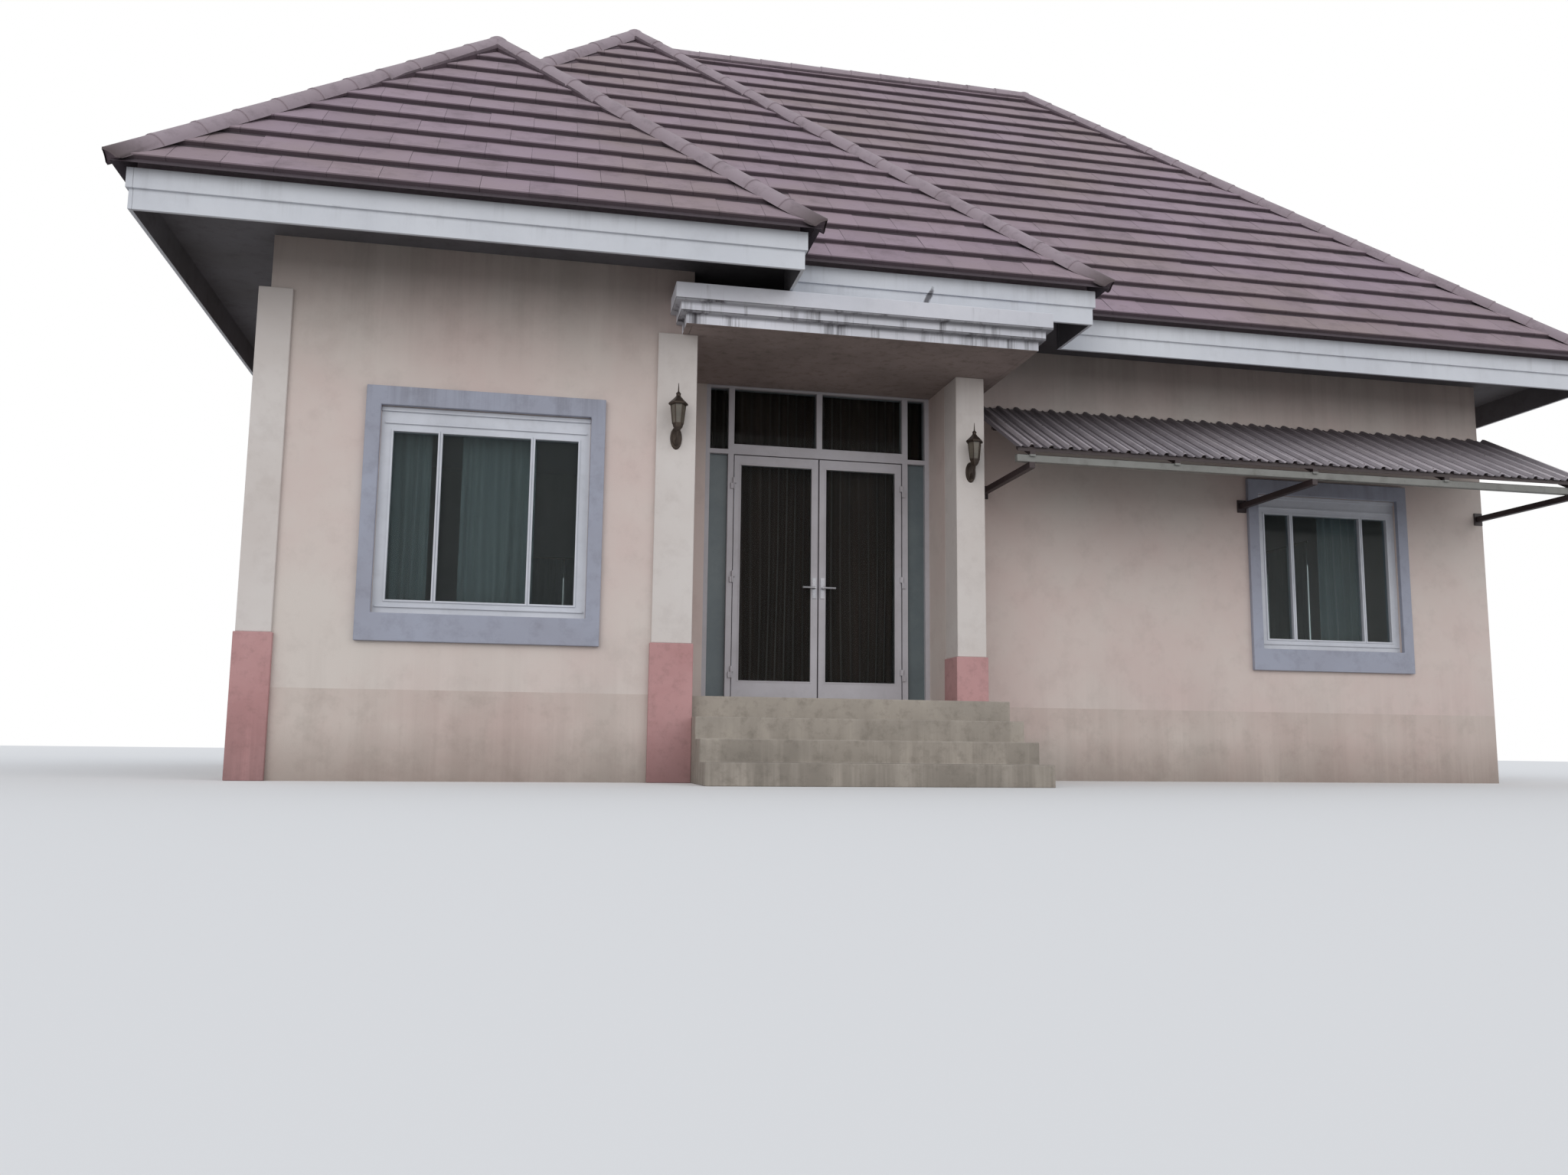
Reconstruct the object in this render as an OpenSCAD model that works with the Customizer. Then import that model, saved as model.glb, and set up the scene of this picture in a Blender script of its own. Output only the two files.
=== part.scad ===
// Single-storey bungalow with three nested hip roofs and a recessed porch.
// Lengths are in millimetres. X runs to the right along the front, Y to the back, Z up.
// Places in plan are measured from the left front corner of the eaves.

/* [Roof plan] */
// Width of the left wing's roof between eave lines
wing_roof_w = 4540; // [4300:10:4900]
// How far the porch roof reaches to the right of the wing's roof
entry_reach = 2520; // [2450:10:2800]
// How far the main roof reaches to the right of the porch roof
main_reach = 5330; // [4800:10:6200]
// Porch eave behind the wing's eave
entry_step = 595; // [500:5:680]
// Main eave behind the porch eave
main_step = 615; // [560:5:740]
// Depth of the main roof between eave lines
main_roof_d = 7960; // [7600:20:8600]
// Shift of the wing's ridge to the right of its middle
ridge_shift = -70; // [-160:10:160]

/* [Roof] */
// Rise of the roof slopes for each unit of run
slope = 1.07; // [0.9:0.01:1.15]
// Slopes of each lower roof under the next roof's
lap = 4; // [2:1:10]
// Upright thickness of tiles and battens
roof_t = 60; // [45:5:90]
// Tile edge in front of the fascia
lip = 80; // [50:5:110]
// Tile surface above the soffit, at the fascia
eave_rise = 225; // [200:5:300]
// Radius of the ridge and hip caps
cap_r = 110; // [90:5:130]
// Cap axis below the edge that it covers
cap_sink = 30; // [10:5:35]
// Knobs where caps meet, larger in radius than the caps
knob_more = 8; // [4:1:20]
// How far a cap may pass the tile edge
cap_over = 40; // [20:5:60]

/* [Eaves] */
// Height of the fascia
fascia_h = 278; // [240:2:300]
// Height of its upper board
fascia_upper_h = 139; // [120:1:150]
// Fascia below the soffit
fascia_drop = 222; // [200:2:240]
// Lower board behind the face of the upper board
fascia_step = 18; // [10:1:25]
// Thickness of the boards together
fascia_t = 45; // [35:1:60]
// Thickness of the soffit and ceiling boards
soffit_t = 15; // [10:1:25]
// Eave beam behind the fascia line
beam_inset = 50; // [50:5:80]
// Thickness of the eave beam
beam_t = 60; // [40:5:90]

/* [Walls] */
// Floor above the ground
floor_h = 640; // [400:10:900]
// Thickness of the floor slab
slab_t = 120; // [100:5:160]
// Soffit above the floor
wall_h = 3265; // [3220:5:3500]
// Thickness of the outer walls
wall_t = 150; // [100:5:200]
// Left wall inside its eave line
left_overhang = 760; // [650:10:900]
// Right wall of the wing inside the wing's eave line
wing_overhang = 720; // [650:10:760]
// Front wall of the wing behind its eave line
wing_front = 790; // [700:10:900]
// Main front wall behind the main eave line
main_front = 790; // [700:10:850]
// Right wall inside its eave line
right_overhang = 590; // [500:10:800]
// Back wall inside its eave line
back_overhang = 760; // [650:10:900]

/* [Porch] */
// Width of the porch between its walls
porch_w = 2295; // [2295:5:2400]
// Width of the right column and its return wall
column_w = 250; // [220:5:300]
// Depth of the porch columns
column_d = 300; // [280:10:340]
// Right column behind the porch eave
column_set = 705; // [600:5:800]
// Width of the left porch column
left_column_w = 300; // [260:10:340]
// Columns and pillar proud of the wing's front wall
column_proud = 30; // [20:2:50]
// Height of the coloured column bases above the floor
base_h = 380; // [280:10:450]
// Bases proud of the columns
base_proud = 12; // [6:1:20]
// Width of the corner pillar
pillar_w = 235; // [200:5:280]
// Corner pillar proud of the left wall
pillar_proud = 78; // [50:2:110]
// Top of the corner pillar below the soffit
pillar_gap = 400; // [300:10:450]
// Porch floor behind the wing's front wall
porch_set = 50; // [20:10:100]
// Run of each step
step_run = 280; // [260:5:300]

/* [Canopy] */
// Top of the canopy below the foot of the fascia
canopy_gap = 8; // [4:1:20]
// Thickness of the canopy slab
canopy_t = 100; // [80:10:160]
// Heights of the canopy bands, from the lowest up
low_band_h = 75; // [60:5:90]
// Height of the middle band
mid_band_h = 75; // [60:5:90]
// Height of the top band
top_band_h = 135; // [110:5:140]
// Step between the bands
band_step = 45; // [30:5:60]
// Thickness of the lowest band
band_t = 50; // [40:5:80]
// Front of the canopy ahead of the wing's front wall
canopy_out = 370; // [320:10:420]
// Left end of the canopy beyond the wing's right wall
canopy_left_w = 180; // [160:10:240]
// Right end of the canopy beyond the right column
canopy_right_w = 250; // [220:5:300]

/* [Windows] */
// Head of windows and doors above the floor
head_h = 2050; // [1950:10:2100]
// Width of the wing's window
wing_window_w = 1500; // [1400:10:1600]
// Height of the wing's window
wing_window_h = 1510; // [1300:5:1600]
// Middle of the wing's window from the left wall
wing_window_x = 1555; // [1450:5:1650]
// Width of the other windows
window_w = 1480; // [1300:10:1600]
// Height of the other windows
window_h = 1465; // [1200:5:1500]
// Middle of the main front window from the right wall
main_window_x = 1720; // [1600:10:2000]
// Middle of the rear left window from the back wall
left_window_y = 1900; // [1600:50:2400]
// Distance between the middles of the left windows
left_window_gap = 3600; // [3000:50:4000]
// Middle of the right window from the back wall
right_window_y = 3100; // [2200:50:3600]
// Middle of each back window from its corner
back_window_x = 2300; // [2000:50:2600]
// Surround outside the opening, at the sides
surround_side = 105; // [80:5:120]
// Surround above the opening
surround_top = 140; // [110:5:160]
// Surround below the opening
surround_sill = 200; // [150:5:240]
// Surround proud of the wall
surround_t = 40; // [25:5:60]
// Window and door frames behind the wall face
frame_set = 20; // [15:1:40]
// Depth of the window frames
frame_d = 60; // [50:5:80]
// Sides of the window frames
frame_side = 88; // [70:2:100]
// Head of the window frames
frame_head_h = 180; // [140:5:190]
// Foot of the window frames
frame_foot_h = 100; // [80:5:120]
// Width of the bars between the lights
bar_w = 32; // [28:2:50]
// Share of the side lights in the wing's window
wing_share = 0.25; // [0.2:0.01:0.3]
// Share of the side lights in the other windows
share = 0.215; // [0.2:0.005:0.3]
// Thickness of the glass
glass_t = 6; // [5:1:10]

/* [Front door] */
// Distance of the door frame from the wing's right wall
door_x = 275; // [250:5:275]
// Width of the door frame
door_frame_w = 2020; // [1950:10:2020]
// Head of the door frame that stands above the canopy's underside
frame_hidden = 25; // [10:1:35]
// Depth of the door frame
door_frame_d = 90; // [80:5:110]
// Width of the jambs
jamb_w = 40; // [35:1:50]
// Width of the upright bars
mullion_w = 50; // [40:2:60]
// Width of the side lights
side_light_w = 160; // [150:5:180]
// Height of the door leaves
leaf_h = 2132; // [2080:1:2150]
// Thickness of the door leaves
leaf_t = 40; // [35:1:50]
// Gap at the hinge edge, head and foot of a leaf
leaf_gap = 8; // [6:1:10]
// Gap between the two leaves
meeting_gap = 12; // [10:1:14]
// Uprights of a leaf
stile_w = 60; // [50:2:80]
// Top rail of a leaf
top_rail_h = 85; // [60:5:100]
// Bottom rail of a leaf
rail_h = 180; // [140:5:220]
// Transom bar over the leaves
transom_h = 89; // [60:1:100]
// Radius of the hinge barrels
barrel_r = 8; // [6:0.5:9]
// Gap between the hinge barrels and the frame's face
barrel_gap = 2; // [1:0.5:4]
// Gap between a leaf's barrel and the frame's barrel under it
hinge_play = 0.3; // [0.2:0.1:0.5]
// Reach of the hinge plates from the hinge axis
hinge_plate_w = 24; // [20:1:30]
// Height of the hinge barrels
barrel_h = 100; // [80:5:120]
// Middle of the end hinges from the head and foot of a leaf
hinge_in = 250; // [150:10:350]
// Height of the handles above the floor
handle_z = 1000; // [900:10:1100]
// Length of the handle plates
plate_h = 180; // [120:5:220]

/* [Rear door] */
// Width of the rear door with its frame
rear_door_w = 900; // [800:10:1000]
// Middle of the rear door from the middle of the back wall
rear_door_x = 0; // [-600:50:600]

/* [Lamps] */
// Foot of the wall lamps above the floor
lamp_z = 1840; // [1700:10:1950]
// Height of a lamp with its spike
lamp_h = 490; // [450:10:540]
// Radius of the lamp's hood
hood_r = 75; // [65:1:90]
// Lamp axis ahead of the column
lamp_out = 100; // [95:5:130]

/* [Awning] */
// Left end of the awning to the right of the column
awning_gap = 100; // [60:5:140]
// Awning beyond the right wall
awning_over = 100; // [0:10:300]
// How far the awning stands out from the wall
awning_out = 1150; // [900:10:1250]
// Drop of the awning's front edge
awning_drop = 650; // [550:10:750]
// Awning below the underside of the canopy
awning_under = 10; // [5:1:40]
// Upright thickness of the ribbed sheet
awning_t = 30; // [20:1:40]
// Size of the rafters and arms
rafter_s = 50; // [40:2:60]
// Size of the purlins that carry the sheet across the rafters
purlin_s = 40; // [30:2:50]
// Purlins let into the rafters
purlin_bite = 10; // [5:1:15]
// Play between the sheet and the purlins under it
purlin_play = 0.3; // [0.2:0.1:0.5]
// Height of the front tube
tube_h = 60; // [50:5:70]
// Front tube let into the rafters
tube_bite = 10; // [5:1:20]
// Front tube behind the awning's front edge
tube_set = 30; // [20:5:60]
// Distance of the end arms from the ends of the awning
arm_inset = 150; // [100:10:350]

/* [Hidden] */
$fn = 48;

// Eave lines
entry_x = wing_roof_w + entry_reach;
eave_w = entry_x + main_reach;
main_y = entry_step + main_step;
eave_d = main_y + main_roof_d;

// Wall faces
wall_x0 = left_overhang;
wing_x1 = wing_roof_w - wing_overhang;
wing_y0 = wing_front;
door_y = main_y + main_front;
wall_x1 = eave_w - right_overhang;
wall_y1 = eave_d - back_overhang;
porch_x1 = wing_x1 + porch_w;
return_x1 = porch_x1 + column_w;
column_y = entry_step + column_set;

// Levels
soffit_z = floor_h + wall_h;
soffit_top = soffit_z + soffit_t;
fascia_z = soffit_z - fascia_drop;
tile_z = soffit_z + eave_rise;
entry_tile_z = tile_z - lap;
wing_tile_z = entry_tile_z - lap;
canopy_low = fascia_z - canopy_gap - low_band_h - mid_band_h - top_band_h;
door_frame_h = canopy_low + frame_hidden - floor_h;
head_z = floor_h + head_h;
base_z = floor_h + base_h;

// Roof shapes
wing_ridge_x = wing_roof_w / 2 + ridge_shift;
wing_rise = wing_ridge_x * slope;
wing_end = main_y + wing_ridge_x;
entry_half = entry_x / 2;
entry_rise = entry_half * slope;
entry_end = main_y + entry_half;
main_half = main_roof_d / 2;
main_rise = main_half * slope;
attic_grow = 5 * lip;

// Door places
door_x0 = wing_x1 + door_x;
door_x1 = door_x0 + door_frame_w;
frame_y = door_y + frame_set;
doorway_x0 = door_x0 + jamb_w + side_light_w + mullion_w;
doorway_x1 = door_x1 - jamb_w - side_light_w - mullion_w;
hinge_y = frame_y - barrel_r - barrel_gap;
leaf_w = (doorway_x1 - doorway_x0 - 2 * leaf_gap - meeting_gap) / 2;
leaf_z = floor_h + leaf_gap;
leaf_y = frame_y + leaf_gap;
transom_z = leaf_z + leaf_h + leaf_gap;
hinge_z = [leaf_z + hinge_in, leaf_z + leaf_h / 2, leaf_z + leaf_h - hinge_in];

// Each window: turn of its wall, place on the wall's outer face, width, height, side light share
WINDOWS = [
    [0, wall_x0 + wing_window_x, wing_y0, wing_window_w, wing_window_h, wing_share],
    [0, wall_x1 - main_window_x, door_y, window_w, window_h, share],
    [90, wall_x1, wall_y1 - right_window_y, window_w, window_h, share],
    [180, wall_x1 - back_window_x, wall_y1, window_w, window_h, share],
    [180, wall_x0 + back_window_x, wall_y1, window_w, window_h, share],
    [-90, wall_x0, wall_y1 - left_window_y, window_w, window_h, share],
    [-90, wall_x0, wall_y1 - left_window_y - left_window_gap, window_w, window_h, share]
];
rear_door_mid = (wall_x0 + wall_x1) / 2 + rear_door_x;

// Awning places
awning_x0 = return_x1 + awning_gap;
awning_x1 = wall_x1 + awning_over;
awning_z = canopy_low - awning_under;
awning_y = door_y - awning_out;
awning_fall = awning_drop / awning_out;
tube_y = awning_y + tube_set;
rafter_drop = awning_t + purlin_s - purlin_bite;
tube_z = awning_z - awning_drop + awning_fall * tube_set - rafter_drop - rafter_s - tube_h
    + tube_bite;
arm_span = awning_x1 - awning_x0 - 2 * arm_inset;

wall_color = [0.78, 0.72, 0.69];
trim_color = [0.86, 0.87, 0.89];
roof_color = [0.50, 0.43, 0.46];
frame_color = [0.85, 0.85, 0.88];
glass_color = [0.35, 0.42, 0.46];

// Puts the middle of the eaves over the origin
module seat() {
    translate([-eave_w / 2, -eave_d / 2, 0]) children();
}

// A block between two places on each axis
module block(x, y, z) {
    translate([x[0], y[0], z[0]]) cube([x[1] - x[0], y[1] - y[0], z[1] - z[0]]);
}

// Eave line of the whole house, moved inwards
function eave_line(in) = [
    [in, in], [wing_roof_w - in, in], [wing_roof_w - in, entry_step + in],
    [entry_x - in, entry_step + in], [entry_x - in, main_y + in],
    [eave_w - in, main_y + in], [eave_w - in, eave_d - in], [in, eave_d - in]
];

// Outer faces of the house walls, moved inwards
function wall_line(in) = [
    [wall_x0 + in, wing_y0 + in], [wing_x1 - in, wing_y0 + in], [wing_x1 - in, door_y + in],
    [wall_x1 - in, door_y + in], [wall_x1 - in, wall_y1 - in], [wall_x0 + in, wall_y1 - in]
];

// A band that follows the eaves between two distances inside the eave line
module eave_band(in0, in1, z) {
    translate([0, 0, z[0]]) linear_extrude(height = z[1] - z[0]) difference() {
        polygon(eave_line(in0));
        polygon(eave_line(in1));
    }
}

// Room taken by the wing's walls, cut out of what meets them
module wing_walls_room() {
    block([wall_x0, wing_x1], [wing_y0, eave_d], [-1, soffit_z]);
}

module return_wall_room() {
    block([porch_x1, return_x1], [column_y + column_d, door_y], [-1, soffit_z]);
}

// Puts children at a window: X along the wall, Y inwards from its face, Z at the foot
module at_window(w) {
    translate([w[1], w[2], head_z - w[4]]) rotate(w[0]) children();
}

module window_holes() {
    for (w = WINDOWS)
        at_window(w) block([-w[3] / 2, w[3] / 2], [-1, wall_t + 1], [0, w[4]]);
}

module rear_door_hole() {
    block([rear_door_mid - rear_door_w / 2, rear_door_mid + rear_door_w / 2],
          [wall_y1 - wall_t - 1, wall_y1 + 1], [floor_h, head_z]);
}

module house_wall(x, y) {
    color(wall_color) seat() difference() {
        block(x, y, [floor_h, soffit_z]);
        window_holes();
        rear_door_hole();
    }
}

// Foundation and fill under the floor
module plinth() {
    color([0.72, 0.66, 0.62]) seat() linear_extrude(height = floor_h - slab_t)
        polygon(wall_line(0));
}

module floor_slab() {
    color([0.7, 0.68, 0.65]) seat() translate([0, 0, floor_h - slab_t])
        linear_extrude(height = slab_t) polygon(wall_line(0));
}

module wing_front_wall() { house_wall([wall_x0, wing_x1], [wing_y0, wing_y0 + wall_t]); }

module wing_return_wall() {
    house_wall([wing_x1 - wall_t, wing_x1], [wing_y0 + wall_t, door_y + wall_t]);
}

module left_wall() {
    house_wall([wall_x0, wall_x0 + wall_t], [wing_y0 + wall_t, wall_y1 - wall_t]);
}

module back_wall() { house_wall([wall_x0, wall_x1], [wall_y1 - wall_t, wall_y1]); }

module right_wall() {
    house_wall([wall_x1 - wall_t, wall_x1], [door_y + wall_t, wall_y1 - wall_t]);
}

module main_front_wall() { house_wall([door_x1, wall_x1], [door_y, door_y + wall_t]); }

module door_side_wall() { house_wall([wing_x1, door_x0], [door_y, door_y + wall_t]); }

module door_head_wall() {
    color(wall_color) seat()
        block([door_x0, door_x1], [door_y, door_y + wall_t], [floor_h + door_frame_h, soffit_z]);
}

module porch_return_wall() {
    color(wall_color) seat()
        block([porch_x1, return_x1], [column_y + column_d, door_y], [0, soffit_z]);
}

// Plan of the corner pillar and the left porch column, proud of the wing's walls
module pillar_block(z, out) {
    block([wall_x0 - pillar_proud - out, wall_x0 - pillar_proud + pillar_w + out],
          [wing_y0 - column_proud - out, wing_y0 - column_proud + pillar_w + out], z);
}

module left_column_block(z, out) {
    block([wing_x1 + column_proud - left_column_w - out, wing_x1 + column_proud + out],
          [wing_y0 - column_proud - out, wing_y0 - column_proud + column_d + out], z);
}

module right_column_block(z, out) {
    block([porch_x1 - out, return_x1 + out], [column_y - out, column_y + column_d], z);
}

module left_pillar() {
    color([0.84, 0.83, 0.81]) seat() difference() {
        pillar_block([base_z, soffit_z - pillar_gap], 0);
        wing_walls_room();
    }
}

module left_porch_column() {
    color([0.84, 0.83, 0.81]) seat() difference() {
        left_column_block([base_z, canopy_low], 0);
        wing_walls_room();
    }
}

module right_porch_column() {
    color([0.84, 0.83, 0.81]) seat() right_column_block([base_z, canopy_low], 0);
}

module base_blocks() {
    difference() {
        union() {
            pillar_block([0, base_z], base_proud);
            left_column_block([0, base_z], base_proud);
        }
        wing_walls_room();
    }
    right_column_block([0, base_z], base_proud);
}

module column_bases() { color([0.76, 0.54, 0.52]) seat() base_blocks(); }

module porch_and_steps() {
    steps = 4;
    x1 = return_x1 + base_proud;
    color([0.66, 0.62, 0.58]) seat() difference() {
        union() {
            block([wing_x1, x1], [wing_y0 + porch_set, column_y + column_d], [0, floor_h]);
            block([wing_x1, porch_x1], [wing_y0 + porch_set, door_y], [0, floor_h]);
            for (i = [1 : steps - 1])
                block([wing_x1 + column_proud + base_proud, x1],
                      [wing_y0 + porch_set - i * step_run, wing_y0 + porch_set],
                      [0, floor_h * (steps - i) / steps]);
        }
        base_blocks();
        return_wall_room();
    }
}

module soffit_and_ceiling() {
    color([0.72, 0.72, 0.72]) seat() translate([0, 0, soffit_z])
        linear_extrude(height = soffit_t) polygon(eave_line(fascia_t));
}

// Section across a roof: w between eave lines, ridge at r, height rise above the eave lines
function roof_section(w, r, rise) =
    let (ml = rise / r, mr = rise / (w - r), low = -slope * lip - 2 * roof_t)
    [[-lip, low], [-lip, -ml * lip], [r, rise], [w + lip, -mr * lip], [w + lip, low]];

// The same slopes lowered by drop and run out past the eaves
function under_section(w, r, rise, drop) =
    let (ml = rise / r, mr = rise / (w - r), e = attic_grow)
    [[-e, -ml * e - drop], [r, rise - drop], [w + e, -mr * e - drop]];

// Section of a front slope that runs back for a depth d
function end_section(d) =
    let (low = -slope * lip - 2 * roof_t)
    [[-lip, low], [-lip, -slope * lip], [d, slope * d], [d, low]];

function under_end_section(d, drop) =
    let (e = attic_grow)
    [[-e, -slope * e - drop], [d + e, slope * (d + e) - drop], [d + e, -slope * e - drop]];

// Extrudes a section along Y or X, with its eave line at z
module along_y(x, y0, y1, z) {
    translate([x, y1, z]) rotate([90, 0, 0]) linear_extrude(height = y1 - y0) children();
}

module along_x(y, x0, x1, z) {
    translate([x0, y, z]) rotate([90, 0, 90]) linear_extrude(height = x1 - x0) children();
}

module wing_hip() {
    intersection() {
        along_y(0, -lip, wing_end, wing_tile_z)
            polygon(roof_section(wing_roof_w, wing_ridge_x, wing_rise));
        along_x(0, -lip, wing_roof_w + lip, wing_tile_z) polygon(end_section(wing_end));
    }
}

// Space under the wing's slopes lowered by drop
module under_wing(drop) {
    intersection() {
        along_y(0, -attic_grow, wing_end + 1, wing_tile_z)
            polygon(under_section(wing_roof_w, wing_ridge_x, wing_rise, drop));
        along_x(0, -attic_grow, wing_roof_w + attic_grow, wing_tile_z)
            polygon(under_end_section(wing_end, drop));
    }
}

module entry_hip() {
    intersection() {
        along_y(0, entry_step - lip, entry_end, entry_tile_z)
            polygon(roof_section(entry_x, entry_half, entry_rise));
        along_x(entry_step, -lip, entry_x + lip, entry_tile_z)
            polygon(end_section(entry_end - entry_step));
    }
}

module under_entry(drop) {
    intersection() {
        along_y(0, entry_step - attic_grow, entry_end + 1, entry_tile_z)
            polygon(under_section(entry_x, entry_half, entry_rise, drop));
        along_x(entry_step, -attic_grow, entry_x + attic_grow, entry_tile_z)
            polygon(under_end_section(entry_end - entry_step, drop));
    }
}

module main_hip() {
    low = -slope * lip - 2 * roof_t;
    intersection() {
        along_y(0, main_y - lip, eave_d + lip, tile_z)
            polygon([[-lip, low], [-lip, -slope * lip], [main_half, main_rise],
                     [eave_w - main_half, main_rise], [eave_w + lip, -slope * lip],
                     [eave_w + lip, low]]);
        along_x(main_y, -lip, eave_w + lip, tile_z)
            polygon(roof_section(main_roof_d, main_half, main_rise));
    }
}

module under_main(drop) {
    intersection() {
        along_y(0, main_y - attic_grow, eave_d + attic_grow, tile_z)
            polygon([[-attic_grow, -slope * attic_grow - drop],
                     [main_half, main_rise - drop], [eave_w - main_half, main_rise - drop],
                     [eave_w + attic_grow, -slope * attic_grow - drop]]);
        along_x(main_y, -attic_grow, eave_w + attic_grow, tile_z)
            polygon(under_section(main_roof_d, main_half, main_rise, drop));
    }
}

module wing_roof() {
    color(roof_color) seat() difference() {
        wing_hip();
        under_wing(roof_t);
        under_entry(0);
        under_main(0);
    }
}

module entry_roof() {
    color(roof_color) seat() difference() {
        entry_hip();
        under_entry(roof_t);
        under_wing(roof_t);
        under_main(0);
    }
}

module main_roof() {
    color(roof_color) seat() difference() {
        main_hip();
        under_main(roof_t);
        under_wing(roof_t);
        under_entry(roof_t);
    }
}

// Beams on the soffit that carry the roofs
module eave_beams() {
    wing_slope = wing_rise / (wing_roof_w - wing_ridge_x);
    color([0.3, 0.26, 0.24]) seat() eave_band(beam_inset, beam_inset + beam_t,
        [soffit_top, wing_tile_z - roof_t + beam_inset * min(slope, wing_slope)]);
}

// A round cap between two points of an edge
module cap(p, q) {
    d = q - p;
    len = norm(d);
    translate([p[0], p[1], p[2] + tile_z - cap_sink])
        rotate([0, acos(d[2] / len), atan2(d[1], d[0])]) cylinder(h = len, r = cap_r);
}

// A knob where caps meet
module cap_knob(p) {
    translate([p[0], p[1], p[2] + tile_z - cap_sink]) sphere(r = cap_r + knob_more);
}

function eave_corner(x, y, out_x, out_y) = [x + out_x * lip, y + out_y * lip, -slope * lip];

module ridge_and_hip_caps() {
    wing_top = [wing_ridge_x, wing_ridge_x, wing_rise];
    wing_back = [wing_ridge_x, entry_step + wing_ridge_x, wing_rise];
    entry_top = [entry_half, entry_step + entry_half, entry_rise];
    entry_back = [entry_half, entry_end, entry_rise];
    main_left = [main_half, main_y + main_half, main_rise];
    main_right = [eave_w - main_half, main_y + main_half, main_rise];
    color([0.58, 0.53, 0.53]) seat() difference() {
        intersection() {
            union() {
                cap(eave_corner(0, 0, -1, -1), wing_top);
                cap(eave_corner(wing_roof_w, 0, 1, -1), wing_top);
                cap(wing_top, wing_back);
                cap(wing_back, entry_top);
                cap(eave_corner(entry_x, entry_step, 1, -1), entry_top);
                cap(entry_top, entry_back);
                cap(entry_back, main_left);
                cap(main_left, main_right);
                cap(eave_corner(eave_w, main_y, 1, -1), main_right);
                cap(eave_corner(eave_w, eave_d, 1, 1), main_right);
                cap(eave_corner(0, eave_d, -1, 1), main_left);
                for (p = [wing_top, wing_back, entry_top, entry_back, main_left, main_right])
                    cap_knob(p);
            }
            block([-lip - cap_over, eave_w + lip + cap_over],
                  [-lip - cap_over, eave_d + lip + cap_over], [0, tile_z + main_rise + cap_r]);
        }
        wing_hip();
        entry_hip();
        main_hip();
    }
}

module fascia_band() {
    low = fascia_z + fascia_h - fascia_upper_h;
    eave_band(0, fascia_t, [low, fascia_z + fascia_h]);
    eave_band(fascia_step, fascia_t, [fascia_z, low]);
}

// Part of the fascia boards between two places in plan
module fascia_part(x, y) {
    color(trim_color) seat() intersection() {
        fascia_band();
        block(x, y, [0, tile_z]);
    }
}

module wing_fascia() { fascia_part([fascia_t, wing_roof_w], [0, entry_step]); }

module entry_fascia() {
    fascia_part([wing_roof_w - fascia_t, entry_x], [entry_step, main_y]);
}

module main_fascia() {
    color(trim_color) seat() difference() {
        fascia_band();
        block([fascia_t, wing_roof_w], [-1, entry_step], [0, tile_z]);
        block([wing_roof_w - fascia_t, entry_x], [entry_step, main_y], [0, tile_z]);
    }
}

// Inner faces of the canopy bands
canopy_x0 = wing_x1 - canopy_left_w;
canopy_x1 = return_x1 + canopy_right_w;
canopy_y0 = wing_y0 - canopy_out;
canopy_in = 2 * band_step + band_t;

module canopy_core(z) {
    block([canopy_x0 + canopy_in, canopy_x1 - canopy_in], [canopy_y0 + canopy_in, door_y], z);
}

module porch_canopy() {
    color([0.62, 0.58, 0.55]) seat() difference() {
        canopy_core([canopy_low, canopy_low + canopy_t]);
        wing_walls_room();
        return_wall_room();
    }
}

module canopy_band(step, z, h) {
    block([canopy_x0 + step, canopy_x1 - step], [canopy_y0 + step, door_y], [z, z + h]);
}

module canopy_moulding() {
    color(trim_color) seat() difference() {
        union() {
            canopy_band(2 * band_step, canopy_low, low_band_h);
            canopy_band(band_step, canopy_low + low_band_h, mid_band_h);
            canopy_band(0, canopy_low + low_band_h + mid_band_h, top_band_h);
        }
        canopy_core([0, tile_z]);
        wing_walls_room();
    }
}

module window_surrounds() {
    color([0.60, 0.62, 0.69]) seat() for (w = WINDOWS)
        at_window(w) difference() {
            block([-w[3] / 2 - surround_side, w[3] / 2 + surround_side], [-surround_t, 0],
                  [-surround_sill, w[4] + surround_top]);
            block([-w[3] / 2, w[3] / 2], [-surround_t - 1, 1], [0, w[4]]);
        }
}

// Lights of a window: left and right edge of each, between the bars
function lights(w) =
    let (clear = w[3] - 2 * frame_side, x0 = -clear / 2, side = clear * w[5])
    [[x0, x0 + side - bar_w / 2], [x0 + side + bar_w / 2, -x0 - side - bar_w / 2],
     [-x0 - side + bar_w / 2, -x0]];

module window_frames() {
    color(frame_color) seat() for (w = WINDOWS)
        at_window(w) difference() {
            block([-w[3] / 2, w[3] / 2], [frame_set, frame_set + frame_d], [0, w[4]]);
            for (light = lights(w))
                block(light, [0, wall_t], [frame_foot_h, w[4] - frame_head_h]);
        }
}

module window_glass() {
    mid = frame_set + frame_d / 2;
    color(glass_color) seat() for (w = WINDOWS)
        at_window(w) for (light = lights(w))
            block(light, [mid - glass_t / 2, mid + glass_t / 2], [frame_foot_h, w[4] - frame_head_h]);
}

// Openings of the door frame, left to right: edges of the side lights and of the doorway
frame_top_z = floor_h + door_frame_h;
side_lights = [[door_x0 + jamb_w, door_x0 + jamb_w + side_light_w],
               [door_x1 - jamb_w - side_light_w, door_x1 - jamb_w]];
transom_mid = (doorway_x0 + doorway_x1) / 2;
transom_lights = [[doorway_x0, transom_mid - mullion_w / 2],
                  [transom_mid + mullion_w / 2, doorway_x1]];

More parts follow.
